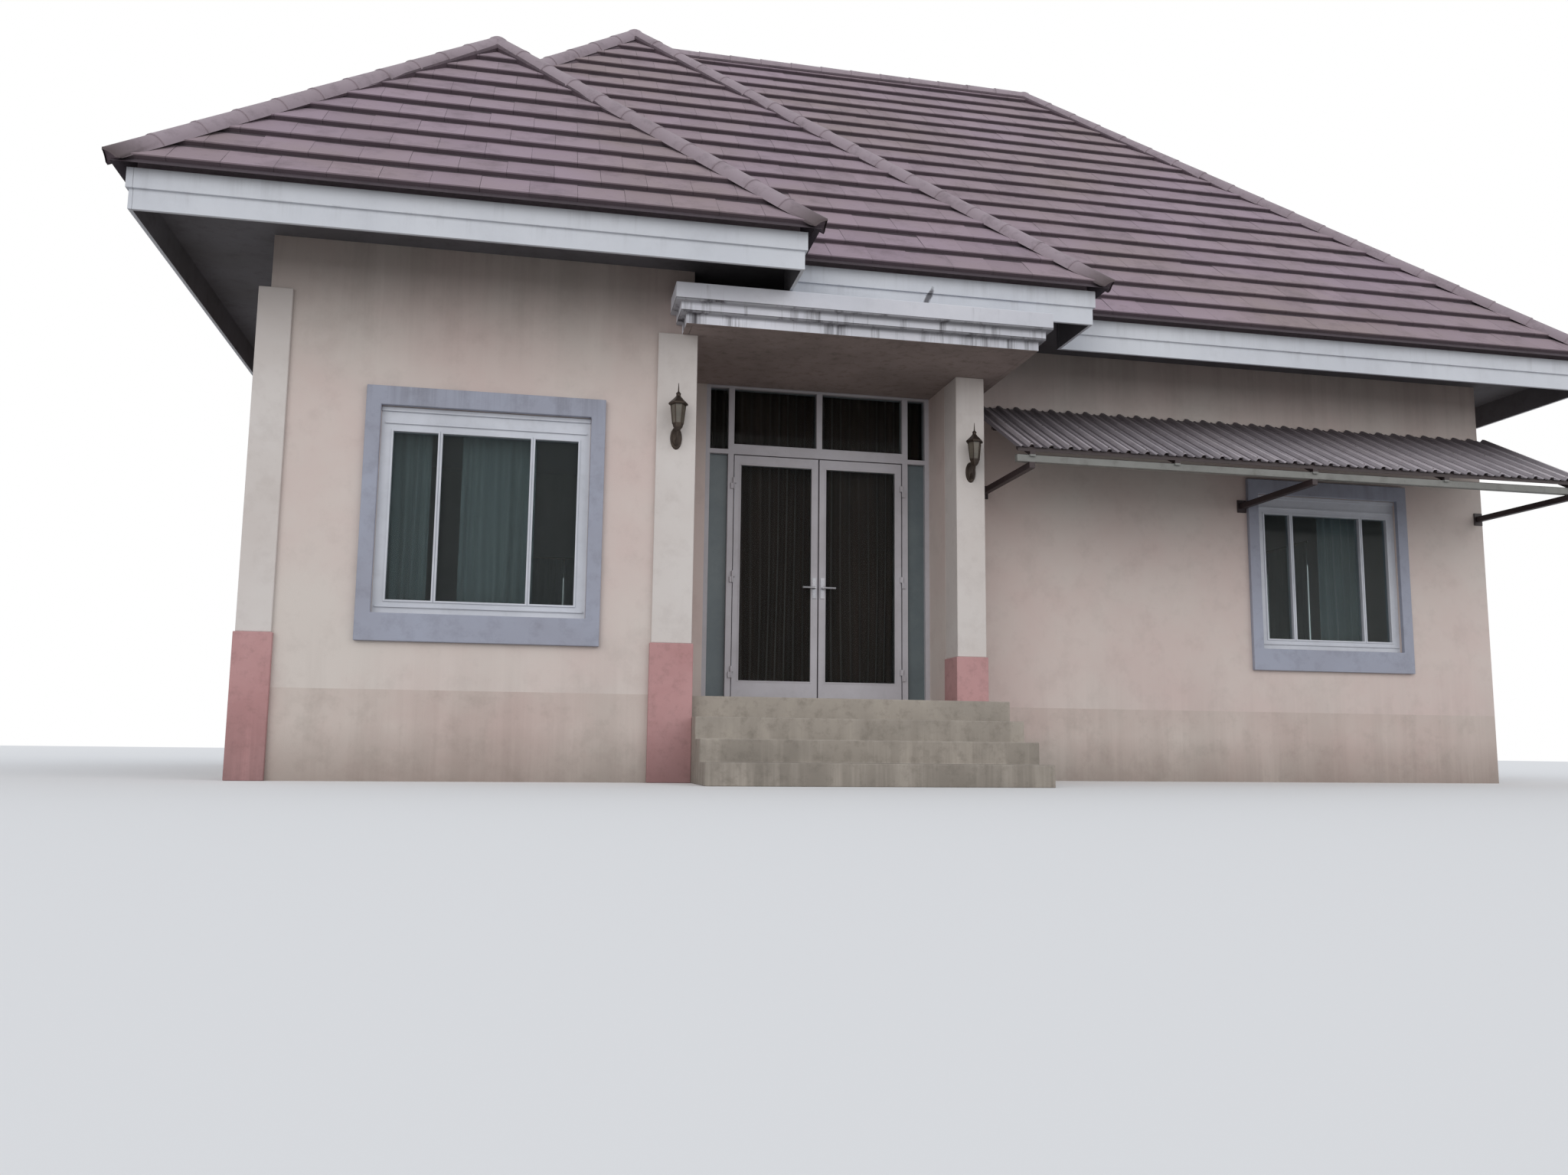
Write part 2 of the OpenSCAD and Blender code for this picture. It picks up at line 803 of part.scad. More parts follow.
// Lower halves of the hinges, with plates on the upright; side is where the doorway lies
module frame_hinges(x, side) {
    for (z = hinge_z) {
        translate([x, hinge_y, z - barrel_h / 2]) cylinder(h = barrel_h / 2, r = barrel_r);
        block([min(x, x - side * hinge_plate_w), max(x, x - side * hinge_plate_w)],
              [hinge_y - barrel_r / 2, frame_y], [z - barrel_h / 2, z]);
    }
}

// Upper halves of the hinges, with plates to the leaf, which lies towards side
module leaf_hinges(x, side) {
    for (z = hinge_z) {
        top = z + barrel_h / 2;
        edge = x + side * hinge_plate_w;
        neck = x + side * (leaf_gap + 2);
        translate([x, hinge_y, z + hinge_play])
            cylinder(h = barrel_h / 2 - hinge_play, r = barrel_r);
        block([min(x, edge), max(x, edge)], [hinge_y - barrel_r / 2, hinge_y + barrel_r / 2],
              [z + hinge_play, top]);
        block([min(neck, edge), max(neck, edge)], [hinge_y - barrel_r / 2, leaf_y + 1],
              [z + hinge_play, top]);
    }
}

module door_frame() {
    color(frame_color) seat() union() {
        difference() {
            block([door_x0, door_x1], [frame_y, frame_y + door_frame_d], [floor_h, frame_top_z]);
            block([doorway_x0, doorway_x1], [door_y, door_y + wall_t], [floor_h - 1, transom_z]);
            for (x = transom_lights)
                block(x, [door_y, door_y + wall_t], [transom_z + transom_h, frame_top_z - jamb_w]);
            for (x = side_lights) {
                block(x, [door_y, door_y + wall_t], [floor_h + jamb_w, transom_z]);
                block(x, [door_y, door_y + wall_t],
                      [transom_z + jamb_w, frame_top_z - jamb_w]);
            }
        }
        frame_hinges(doorway_x0, 1);
        frame_hinges(doorway_x1, -1);
    }
}

module door_frame_glass() {
    y = [frame_y + door_frame_d / 2 - glass_t / 2, frame_y + door_frame_d / 2 + glass_t / 2];
    color(glass_color) seat() {
        for (x = transom_lights)
            block(x, y, [transom_z + transom_h, frame_top_z - jamb_w]);
        for (x = side_lights) {
            block(x, y, [floor_h + jamb_w, transom_z]);
            block(x, y, [transom_z + jamb_w, frame_top_z - jamb_w]);
        }
    }
}

// Left edge of each leaf
left_leaf_x = doorway_x0 + leaf_gap;
right_leaf_x = doorway_x1 - leaf_gap - leaf_w;

module leaf(x, hinge_x, side) {
    color(frame_color) seat() union() {
        difference() {
            block([x, x + leaf_w], [leaf_y, leaf_y + leaf_t], [leaf_z, leaf_z + leaf_h]);
            block([x + stile_w, x + leaf_w - stile_w], [leaf_y - 1, leaf_y + leaf_t + 1],
                  [leaf_z + rail_h, leaf_z + leaf_h - top_rail_h]);
        }
        leaf_hinges(hinge_x, side);
    }
}

module leaf_glass(x) {
    mid = leaf_y + leaf_t / 2;
    color(glass_color) seat()
        block([x + stile_w, x + leaf_w - stile_w], [mid - glass_t / 2, mid + glass_t / 2],
              [leaf_z + rail_h, leaf_z + leaf_h - top_rail_h]);
}

// Lever handle with its plate on the stile at x, the lever towards side
module handle(x, side) {
    plate_w = 36;
    lever_l = 110;
    lever_r = 9;
    reach = 48;
    color([0.7, 0.7, 0.72]) seat() union() {
        block([x - plate_w / 2, x + plate_w / 2], [leaf_y - 8, leaf_y],
              [floor_h + handle_z - plate_h / 2, floor_h + handle_z + plate_h / 2]);
        translate([x, leaf_y - 4, floor_h + handle_z]) rotate([90, 0, 0])
            cylinder(h = reach - 4, r = lever_r);
        translate([x, leaf_y - reach, floor_h + handle_z]) rotate([0, side * 90, 0])
            cylinder(h = lever_l, r = lever_r);
    }
}

module left_door_leaf() { leaf(left_leaf_x, doorway_x0, 1); }

module left_door_glass() { leaf_glass(left_leaf_x); }

module left_door_handle() { handle(left_leaf_x + leaf_w - stile_w / 2, -1); }

module right_door_leaf() { leaf(right_leaf_x, doorway_x1, -1); }

module right_door_glass() { leaf_glass(right_leaf_x); }

module right_door_handle() { handle(right_leaf_x + stile_w / 2, 1); }

module rear_door() {
    w = rear_door_w;
    face = wall_y1 - frame_set;
    color([0.45, 0.33, 0.26]) seat() translate([rear_door_mid, 0, floor_h]) union() {
        difference() {
            block([-w / 2, w / 2], [face - frame_d, face], [0, head_h]);
            block([-w / 2 + jamb_w, w / 2 - jamb_w], [face - frame_d - 1, face + 1],
                  [-1, head_h - jamb_w]);
        }
        block([-w / 2 + jamb_w, w / 2 - jamb_w], [face - frame_d + 5, face - 15],
              [0, head_h - jamb_w]);
    }
}

// Lantern on an arm, seated on a wall face at y
module lamp(x, y) {
    body_r = 48;
    foot_h = 40;
    body_h = 250;
    hood_h = 90;
    brim_h = 20;
    tip_r = 14;
    spike_r = 7;
    arm_s = 16;
    plate_w = 60;
    plate_h = 160;
    plate_t = 12;
    color([0.16, 0.14, 0.13]) seat() translate([x, y - lamp_out, floor_h + lamp_z]) {
        cylinder(h = foot_h, r1 = body_r / 3, r2 = body_r);
        translate([0, 0, foot_h]) cylinder(h = body_h, r = body_r);
        translate([0, 0, foot_h + body_h]) cylinder(h = brim_h, r = hood_r);
        translate([0, 0, foot_h + body_h + brim_h])
            cylinder(h = hood_h, r1 = 0.84 * hood_r, r2 = tip_r);
        translate([0, 0, foot_h + body_h + hood_h])
            cylinder(h = lamp_h - foot_h - body_h - hood_h, r = spike_r);
        translate([-arm_s / 2, 0, foot_h + body_h - plate_h / 2])
            cube([arm_s, lamp_out - plate_t / 2, arm_s]);
        translate([-plate_w / 2, lamp_out - plate_t, foot_h + body_h - plate_h])
            cube([plate_w, plate_t, plate_h]);
    }
}

module wall_lamps() {
    lamp(wing_x1 + column_proud - left_column_w / 2, wing_y0 - column_proud);
    lamp((porch_x1 + return_x1) / 2, column_y);
}

// A slab that follows the awning's slope: top below the sheet's top by drop, thickness t
module awning_slab(x, drop, t, y0, y1) {
    function top(y) = awning_z - drop - awning_fall * (door_y - y);
    translate([x[0], 0, 0]) rotate([90, 0, 90]) linear_extrude(height = x[1] - x[0])
        polygon([[y0, top(y0)], [y1, top(y1)], [y1, top(y1) - t], [y0, top(y0) - t]]);
}

module awning_sheet() {
    color([0.52, 0.50, 0.54]) seat()
        awning_slab([awning_x0, awning_x1], 0, awning_t, awning_y, door_y);
}

module awning_frame() {
    arms = 3;
    rafters = 5;
    purlins = 3;
    purlin_step = (awning_out - tube_set - purlin_s) / (purlins - 1);
    color([0.30, 0.22, 0.22]) seat() union() {
        for (i = [0 : rafters - 1]) {
            x = awning_x0 + arm_inset + arm_span * i / (rafters - 1);
            awning_slab([x - rafter_s / 2, x + rafter_s / 2], rafter_drop, rafter_s,
                        awning_y + tube_set / 2, door_y);
        }
        for (i = [0 : purlins - 1]) {
            y = awning_y + tube_set / 2 + purlin_step * i;
            awning_slab([awning_x0 + 20, awning_x1 - 20], awning_t + purlin_play,
                        purlin_s - purlin_play, y, y + purlin_s);
        }
        block([awning_x0 + 20, awning_x1 - 20], [tube_y, tube_y + rafter_s],
              [tube_z, tube_z + tube_h]);
        for (i = [0 : arms - 1]) {
            x = awning_x0 + arm_inset + arm_span * i / (arms - 1);
            block([x - rafter_s / 2, x + rafter_s / 2], [tube_y, door_y],
                  [tube_z - rafter_s, tube_z]);
        }
    }
}

plinth();
floor_slab();
wing_front_wall();
wing_return_wall();
left_wall();
back_wall();
right_wall();
main_front_wall();
door_side_wall();
door_head_wall();
porch_return_wall();
left_pillar();
left_porch_column();
right_porch_column();
column_bases();
porch_and_steps();
soffit_and_ceiling();
eave_beams();
wing_roof();
entry_roof();
main_roof();
ridge_and_hip_caps();
wing_fascia();
entry_fascia();
main_fascia();
porch_canopy();
canopy_moulding();
window_surrounds();
window_frames();
window_glass();
door_frame();
door_frame_glass();
left_door_leaf();
left_door_glass();
left_door_handle();
right_door_leaf();
right_door_glass();
right_door_handle();
rear_door();
wall_lamps();
awning_sheet();
awning_frame();
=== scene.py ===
import math

import bmesh
import bpy
from mathutils import Matrix, Vector


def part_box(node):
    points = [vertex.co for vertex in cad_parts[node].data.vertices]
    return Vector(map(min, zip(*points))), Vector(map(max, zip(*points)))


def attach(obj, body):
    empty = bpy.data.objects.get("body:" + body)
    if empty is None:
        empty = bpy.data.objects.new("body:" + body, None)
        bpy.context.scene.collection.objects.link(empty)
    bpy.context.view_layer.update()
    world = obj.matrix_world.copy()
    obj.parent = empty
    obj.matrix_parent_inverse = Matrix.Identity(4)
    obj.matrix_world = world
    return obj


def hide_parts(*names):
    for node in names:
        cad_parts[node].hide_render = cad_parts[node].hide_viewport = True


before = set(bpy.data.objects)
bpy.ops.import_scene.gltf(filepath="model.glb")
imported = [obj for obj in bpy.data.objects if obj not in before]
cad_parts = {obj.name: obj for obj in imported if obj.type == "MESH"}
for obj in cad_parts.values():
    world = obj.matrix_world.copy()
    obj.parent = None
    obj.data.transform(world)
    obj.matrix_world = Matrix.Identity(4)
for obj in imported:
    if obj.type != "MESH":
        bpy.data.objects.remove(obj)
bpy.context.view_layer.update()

# Outer walls: one brick thick, rendered with sand and cement and painted a pale pinkish beige.
# Rain and painted shade darken them softly under the eaves, rain darkens the foot, and the paint is
# patchy.


def srgb(r, g, b):
    """A paint colour, given as it looks on a screen from 0 to 255."""
    return tuple(((c / 255 + 0.055) / 1.055) ** 2.4 if c > 10 else c / 3294.6 for c in (r, g, b)) + (1,)


def put(tree, kind, inputs=(), **settings):
    """Adds a node, sets it up and fills its inputs with values or with other nodes' outputs."""
    node = tree.nodes.new(kind)
    for name, value in settings.items():
        setattr(node, name, value)
    for key, value in dict(inputs).items():
        if isinstance(value, bpy.types.NodeSocket):
            tree.links.new(value, node.inputs[key])
        else:
            node.inputs[key].default_value = value
    return node


def first(tree, kind, inputs=(), **settings):
    """The first output of a node that is put in a tree."""
    return put(tree, kind, inputs, **settings).outputs[0]


def calc(tree, operation, a, b=0.0):
    return first(tree, "ShaderNodeMath", {0: a, 1: b}, operation=operation)


def calc_xyz(tree, operation, a, b):
    return first(tree, "ShaderNodeVectorMath", {0: a, 1: b}, operation=operation)


def parts_of(tree, vector):
    return put(tree, "ShaderNodeSeparateXYZ", {0: vector}).outputs


def ranged(tree, value, low=0.0, high=1.0, at_low=0.0, at_high=1.0):
    """A value taken from one range to another, and held at its ends."""
    return first(tree, "ShaderNodeMapRange", {0: value, 1: low, 2: high, 3: at_low, 4: at_high})


def mixed(tree, weight, under, over, blend_type="MIX"):
    return put(tree, "ShaderNodeMix", {0: weight, 6: under, 7: over}, data_type="RGBA",
               blend_type=blend_type).outputs[2]


def noise(tree, where, scale, detail, roughness=0.5):
    return first(tree, "ShaderNodeTexNoise",
                 {"Vector": where, "Scale": scale, "Detail": detail, "Roughness": roughness})


def on_piece(tree):
    """The place on a piece, in the piece's own coordinates."""
    return put(tree, "ShaderNodeTexCoord").outputs["Object"]


def group(name, ins, outs):
    """A node group. Each input is given as its socket's kind, or as the number it starts with."""
    kind = "GeometryNodeTree" if "Geometry" in outs else "ShaderNodeTree"
    tree = bpy.data.node_groups.new(name, kind)
    for key, value in ins.items():
        socket = value if isinstance(value, str) else "Int" if isinstance(value, int) else "Float"
        made = tree.interface.new_socket(key, in_out="INPUT", socket_type="NodeSocket" + socket)
        if socket != value:
            made.default_value = value
    for key, socket in outs.items():
        tree.interface.new_socket(key, in_out="OUTPUT", socket_type="NodeSocket" + socket)
    return tree, tree.nodes.new("NodeGroupInput").outputs, tree.nodes.new("NodeGroupOutput")


def give(tree, end, outputs):
    for key, socket in outputs.items():
        tree.links.new(socket, end.inputs[key])


# Old paint: clouds of faded colour, dirt in fine specks and a gritty surface
old_paint, given, end = group(
    "old_paint",
    {"Point": "Vector", "Paint": "Color", "Faded": "Color", "Dirt": "Color", "Patch": 1.0,
     "Grit": 200.0, "Soiling": 0.3},
    {"Color": "Color", "Roughness": "Float", "Height": "Float"})
cloud = noise(old_paint, given["Point"], given["Patch"], 6.0, 0.62)
grit = noise(old_paint, given["Point"], given["Grit"], 3.0)
speck = noise(old_paint, given["Point"], calc(old_paint, "MULTIPLY", given["Patch"], 7.0), 8.0, 0.7)
soil = calc(old_paint, "MULTIPLY", ranged(old_paint, speck, 0.5, 0.72), given["Soiling"])
faded = mixed(old_paint, ranged(old_paint, cloud, 0.38, 0.66), given["Paint"], given["Faded"])
give(old_paint, end, {"Color": mixed(old_paint, soil, faded, given["Dirt"]), "Height": grit,
                      "Roughness": ranged(old_paint, grit, 0.0, 1.0, 0.66, 0.92)})

# Runs of rain dirt and painted shade: upright streaks that start at one level and fade out below
# it, or splashes that fade out above it where the length is negative
rain_and_shade_runs, given, end = group(
    "rain_and_shade_runs", {"Point": "Vector", "Top": 1.0, "Length": 0.5, "Streaks": 9.0, "Cover": 0.5},
    {"Mask": "Float"})
upright = calc_xyz(rain_and_shade_runs, "MULTIPLY", given["Point"], (1.0, 1.0, 0.05))
streak = noise(rain_and_shade_runs, upright, given["Streaks"], 5.0, 0.7)
thin = calc(rain_and_shade_runs, "SUBTRACT", 0.72, given["Cover"])
streak = ranged(rain_and_shade_runs, streak, thin, calc(rain_and_shade_runs, "ADD", thin, 0.16))
below = calc(rain_and_shade_runs, "SUBTRACT", given["Top"], parts_of(rain_and_shade_runs, given["Point"])[2])
share = calc(rain_and_shade_runs, "DIVIDE", below, given["Length"])
run = calc(rain_and_shade_runs, "MULTIPLY", streak, ranged(rain_and_shade_runs, share, 0.0, 1.0, 1.0, 0.0))
begun = calc(rain_and_shade_runs, "GREATER_THAN", share, -0.01)
give(rain_and_shade_runs, end, {"Mask": calc(rain_and_shade_runs, "MULTIPLY", run, begun)})


def shader_of(material):
    """The inputs of a material's shader."""
    return material.node_tree.nodes["Principled BSDF"].inputs


def new_material(name):
    """A material, its node tree and its shader's inputs."""
    made = bpy.data.materials.new(name)
    made.use_nodes = True
    return made, made.node_tree, shader_of(made)


def lay_over(material, weight, colour, blend_type="MIX"):
    """Lays a colour over what feeds a material's Base Color."""
    tree = material.node_tree
    base = shader_of(material)["Base Color"]
    tree.links.new(mixed(tree, weight, base.links[0].from_socket, colour, blend_type), base)


def emboss(tree, shader, height, strength, depth):
    bump = first(tree, "ShaderNodeBump", {"Strength": strength, "Distance": depth, "Height": height})
    tree.links.new(bump, shader["Normal"])


def painted(name, paint, faded, dirt, patch, grit, soiling, bump, runs=(), roughness=None, metal=0.0,
            depth=0.002):
    """Old paint, with runs of rain dirt and painted shade, each (top, length, streaks, cover,
    strength).
    """
    made, tree, shader = new_material(name)
    where = on_piece(tree)
    coat = put(tree, "ShaderNodeGroup",
               {"Point": where, "Paint": srgb(*paint), "Faded": srgb(*faded), "Dirt": srgb(*dirt),
                "Patch": patch, "Grit": grit, "Soiling": soiling}, node_tree=old_paint).outputs
    tree.links.new(coat["Color"], shader["Base Color"])
    for top, length, streaks, cover, strength in runs:
        rain_and_shade = first(tree, "ShaderNodeGroup", {"Point": where, "Top": top, "Length": length,
                                               "Streaks": streaks, "Cover": cover}, node_tree=rain_and_shade_runs)
        lay_over(made, calc(tree, "MULTIPLY", rain_and_shade, strength), srgb(*dirt))
    rough = coat["Roughness"]
    if roughness is not None:
        rough = ranged(tree, coat["Height"], 0.0, 1.0, roughness - 0.07, roughness + 0.1)
    tree.links.new(rough, shader["Roughness"])
    shader["Metallic"].default_value = metal
    emboss(tree, shader, coat["Height"], bump, depth)
    return made


def paint_nodes(material, *names):
    """Puts a material on CAD nodes as they are."""
    for name in names:
        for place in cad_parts[name].material_slots:
            place.material = material


# The first two runs darken the wall's top under the eaves: rain streaks and painted shade
wall_paint = painted(
    "wall_paint", (208, 200, 194), (204, 187, 182), (112, 98, 92), 0.55, 260.0, 0.14, 0.45,
    runs=[(3.95, 1.3, 1.1, 0.5, 0.42), (3.95, 1.1, 4.0, 0.3, 0.22), (0.0, -1.2, 3.0, 0.3, 0.2)])
paint_nodes(wall_paint, *(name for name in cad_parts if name.endswith("_wall")))

# Plinth and floor slab: rendered like the walls, but a little darker and rougher. Rain has
# splashed mud up along their foot.
plinth_paint = painted(
    "plinth_paint", (200, 190, 183), (192, 174, 168), (112, 102, 92), 0.7, 220.0, 0.22, 0.6,
    runs=[(0.0, -1.2, 3.0, 0.3, 0.2), (0.0, -0.4, 2.0, 0.5, 0.45)])
paint_nodes(plinth_paint, "plinth", "floor_slab")

# Porch floor and steps: cement trowelled smooth over brick and fill, worn at the nosings.
# Dirt lies along the foot of the risers.


def merged(node):
    """The shape of a CAD node with its loose triangles joined."""
    shape = bmesh.new()
    shape.from_mesh(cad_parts[node].data)
    bmesh.ops.remove_doubles(shape, verts=shape.verts, dist=2e-5)
    return shape


def placed(name, data):
    """A new object in the scene."""
    made = bpy.data.objects.new(name, data)
    bpy.context.scene.collection.objects.link(made)
    return made


def finish(name, shape, materials, body="house", node=None, smooth=False):
    """A finished piece from a shape or a mesh, with the CAD node that it stands for, if any."""
    mesh = shape
    if isinstance(shape, bmesh.types.BMesh):
        mesh = bpy.data.meshes.new(name)
        shape.to_mesh(mesh)
        shape.free()
    for material in materials:
        mesh.materials.append(material)
    if smooth:
        mesh.shade_smooth()
    made = placed(name, mesh)
    if node:
        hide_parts(node)
    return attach(made, body)


def ease(piece, width, segments):
    edge = piece.modifiers.new("eased_edges", "BEVEL")
    edge.width, edge.segments = width, segments
    return edge


def eased(name, node, width, material, body="house"):
    """A copy of a CAD node with its edges eased, as cast, planed or plastered edges are."""
    shape = merged(node)
    bmesh.ops.dissolve_limit(shape, angle_limit=0.005, verts=shape.verts, edges=shape.edges)
    made = finish(name, shape, [material], body, node)
    edge = ease(made, width, 2)
    edge.limit_method, edge.angle_limit = "ANGLE", math.radians(28)
    return made


cement = painted(
    "cement", (168, 160, 150), (150, 143, 134), (92, 86, 78), 1.8, 320.0, 0.4, 0.5,
    runs=[(0.0, -0.7, 4.0, 0.34, 0.5)])
eased("porch_steps", "porch_and_steps", 0.008, cement)

# Porch columns and corner pillar: rendered brick piers, painted off-white, on salmon bases.
# Their corners were struck with a trowel, so they are slightly round.
# The run darkens the columns' and the pillar's tops: painted shade under the canopy and the eave
column_paint = painted(
    "column_paint", (210, 205, 202), (202, 195, 191), (124, 106, 100), 0.8, 240.0, 0.14, 0.35,
    runs=[(3.9, 1.2, 1.5, 0.42, 0.4)])
for name, node in (("corner_pillar", "left_pillar"), ("left_column", "left_porch_column"),
                   ("right_column", "right_porch_column")):
    eased(name, node, 0.006, column_paint)
base_paint = painted(
    "base_paint", (188, 146, 146), (176, 132, 132), (104, 82, 80), 1.6, 240.0, 0.3, 0.4,
    runs=[(0.0, -0.6, 4.0, 0.4, 0.5)])
eased("salmon_bases", "column_bases", 0.006, base_paint)

# Soffit and eave beams: cement board, painted grey and gone dull, under sawn timber.
# The paint is uneven, and fine dirt sticks to it.
soffit_paint = painted("soffit_paint", (95, 93, 98), (82, 80, 82), (52, 49, 48), 1.3, 180.0, 0.4, 0.25)
paint_nodes(soffit_paint, "soffit_and_ceiling")
beam_wood = painted("beam_wood", (146, 132, 140), (130, 118, 125), (96, 86, 90), 3.0, 150.0, 0.4, 0.6)
paint_nodes(beam_wood, "eave_beams")

# Roof tiles: flat concrete tiles of a faded purple brown, laid in courses over battens, half a
# tile out of step. Each nose stands over the tile below. Algae and painted shade darken the noses
# and the heads of the tiles under them.
tile_course, tile_width, lip, tile_nose = 0.318, 0.33, 0.08, 0.042


def stored(tree, name):
    """The number that a mesh holds for each point or face under this name."""
    return put(tree, "ShaderNodeAttribute", attribute_name=name).outputs["Fac"]


tile_paint = painted(
    "tile_paint", (143, 126, 138), (137, 122, 124), (88, 76, 82), 0.5, 170.0, 0.5, 0.5, depth=0.003)
tree = tile_paint.node_tree
lay_over(tile_paint, 1.0, ranged(tree, stored(tree, "tone"), 0.0, 1.0, 0.92, 1.06), "MULTIPLY")
# Noses and the heads under them are darker: algae and painted shade
lay_over(tile_paint, calc(tree, "MULTIPLY", stored(tree, "nose"), 0.8), srgb(58, 46, 54))


def loose(name, points, faces, face_values=None, edges=()):
    """An object from points and faces, with a number on each face under each name."""
    mesh = bpy.data.meshes.new(name)
    mesh.from_pydata(points, edges, faces)
    for key, values in (face_values or {}).items():
        mesh.attributes.new(key, "FLOAT", "FACE").data.foreach_set("value", values)
    return placed(name, mesh)


def between_rows(rows, row):
    """Four-sided faces between neighbouring rows of points, with so many points in each row."""
    return [(a, a + 1, a + row + 1, a + row)
            for r in range(rows - 1) for a in range(r * row, (r + 1) * row - 1)]


# From under the nose, over it and down to the head, which lies under the next tile
tile_section = [(0.002, -0.003), (0.0, tile_nose - 0.007), (0.006, tile_nose),
                (tile_course * 0.6, 0.02), (tile_course - 0.022, 0.007), (tile_course + 0.02, 0.004)]
# How dark each face is painted, from the nose to the head: algae and painted shade
nose_shade_and_algae = [1.0, 0.6, 0.0, 0.0, 0.75]
columns, joint = 6, 0.002
tile = loose("roof_tile_shape",
             [(joint / 2 + (tile_width - joint) * c / columns, y, z)
              for y, z in tile_section for c in range(columns + 1)],
             between_rows(len(tile_section), columns + 1),
             {"nose": [dark for dark in nose_shade_and_algae for c in range(columns)]})


def repeated(tree, points, shape, inputs):
    """The shape of an object at every point."""
    shape_of = put(tree, "GeometryNodeObjectInfo", {"Object": shape}).outputs["Geometry"]
    return first(tree, "GeometryNodeInstanceOnPoints",
                 {"Points": points, "Instance": shape_of, **inputs})


def end_with(tree, end, geometry, material):
    made = first(tree, "GeometryNodeSetMaterial", {"Geometry": geometry, "Material": material})
    give(tree, end, {"Geometry": made})


# The tree lays a grid of tiles over a slope's outline, moves what lies outside it to its edge,
# takes away the faces that this folds up, and tilts the rest into place
courses, given, end = group(
    "tile_courses",
    {"Geometry": "Geometry", "Tile": "Object", "Width": tile_width, "Course": tile_course,
     "Tilt": "Vector", "Place": "Vector", "Seed": 0},
    {"Geometry": "Geometry"})
box = put(courses, "GeometryNodeBoundBox", {0: given["Geometry"]}).outputs
span = parts_of(courses, calc_xyz(courses, "SUBTRACT", box["Max"], box["Min"]))
counts, sizes = [], []
for whole, step, spare in ((span[0], given["Width"], 3.0), (span[1], given["Course"], 1.0)):
    steps = calc(courses, "ADD", calc(courses, "DIVIDE", whole, step), spare)
    counts.append(calc(courses, "CEIL", steps))
    sizes.append(calc(courses, "MULTIPLY", calc(courses, "SUBTRACT", counts[-1], 1.0), step))
grid = first(courses, "GeometryNodeMeshGrid",
             {"Size X": sizes[0], "Size Y": sizes[1], "Vertices X": counts[0], "Vertices Y": counts[1]})
half = first(courses, "ShaderNodeCombineXYZ", {0: sizes[0], 1: sizes[1]})
half = calc_xyz(courses, "MULTIPLY", half, (0.5, 0.5, 0.0))
start = calc_xyz(courses, "SUBTRACT", calc_xyz(courses, "ADD", half, box["Min"]),
                 first(courses, "ShaderNodeCombineXYZ", {0: given["Width"]}))
place = first(courses, "GeometryNodeInputPosition")
row = calc(courses, "ADD", parts_of(courses, place)[1], parts_of(courses, half)[1])
row = calc(courses, "ROUND", calc(courses, "DIVIDE", row, given["Course"]))
shift = calc(courses, "MULTIPLY", calc(courses, "MODULO", row, 2.0), given["Width"])
shift = first(courses, "ShaderNodeCombineXYZ", {0: calc(courses, "MULTIPLY", shift, 0.5)})
points = first(courses, "GeometryNodeSetPosition",
               {"Geometry": grid, "Offset": calc_xyz(courses, "ADD", start, shift)})
jitter = first(courses, "FunctionNodeRandomValue",
               {0: (-0.004, -0.003, -0.002), 1: (0.006, 0.003, 0.002), "Seed": given["Seed"]},
               data_type="FLOAT_VECTOR")
chance = put(courses, "FunctionNodeRandomValue", {2: 0.0, 3: 1.0, "Seed": given["Seed"]}).outputs[1]
toned = first(courses, "GeometryNodeStoreNamedAttribute",
              {"Geometry": repeated(courses, points, given["Tile"], {"Rotation": jitter}),
               "Name": "tone", "Value": chance}, domain="INSTANCE")
trimmed = first(courses, "GeometryNodeRealizeInstances", {0: toned})
plan = calc_xyz(courses, "MULTIPLY", place, (1.0, 1.0, 0.0))
lift = calc_xyz(courses, "MULTIPLY", place, (0.0, 0.0, 1.0))
slope = put(courses, "GeometryNodeProximity", {0: given["Geometry"], "Sample Position": plan},
            target_element="FACES").outputs
trimmed = first(courses, "GeometryNodeSetPosition", {
    "Geometry": trimmed, "Position": calc_xyz(courses, "ADD", slope["Position"], lift)})
area = first(courses, "GeometryNodeInputMeshFaceArea")
for value, operation, limit in ((area, "LESS_THAN", 2e-5), (slope["Distance"], "GREATER_THAN", 0.004)):
    spoilt = first(courses, "FunctionNodeCompare", {0: value, 1: limit}, operation=operation)
    trimmed = first(courses, "GeometryNodeDeleteGeometry", {0: trimmed, 1: spoilt}, domain="FACE")
tilted = first(courses, "GeometryNodeTransform",
               {"Geometry": trimmed, "Translation": given["Place"], "Rotation": given["Tilt"]})
end_with(courses, end, tilted, tile_paint)


def grown(name, seed, tree, values, node=None, smooth=False):
    """What a Geometry Nodes tree makes of a shape, as a plain mesh that rides on the house."""
    nodes_in = seed.modifiers.new("grown", "NODES")
    nodes_in.node_group = tree
    sockets = {s.name: s.identifier for s in tree.interface.items_tree if s.in_out == "INPUT"}
    for key, value in values.items():
        nodes_in[sockets[key]] = value
    bpy.context.view_layer.update()
    ready = seed.evaluated_get(bpy.context.evaluated_depsgraph_get())
    mesh = bpy.data.meshes.new_from_object(ready)
    mesh.name = name
    bpy.data.objects.remove(seed)
    return finish(name, mesh, [], node=node, smooth=smooth)


# The eaves in plan, from their left front corner: the wing's, the porch's and the main house's
# right ends, and the porch's front, the main house's front and the back
wing_x, porch_x, main_x = 4.54, 7.06, 12.39
porch_y, main_y, back_y = 0.595, 1.21, 9.17
centre = Vector((main_x / 2, back_y / 2, 0))
eave_level, roof_drop = 4.130, 0.018
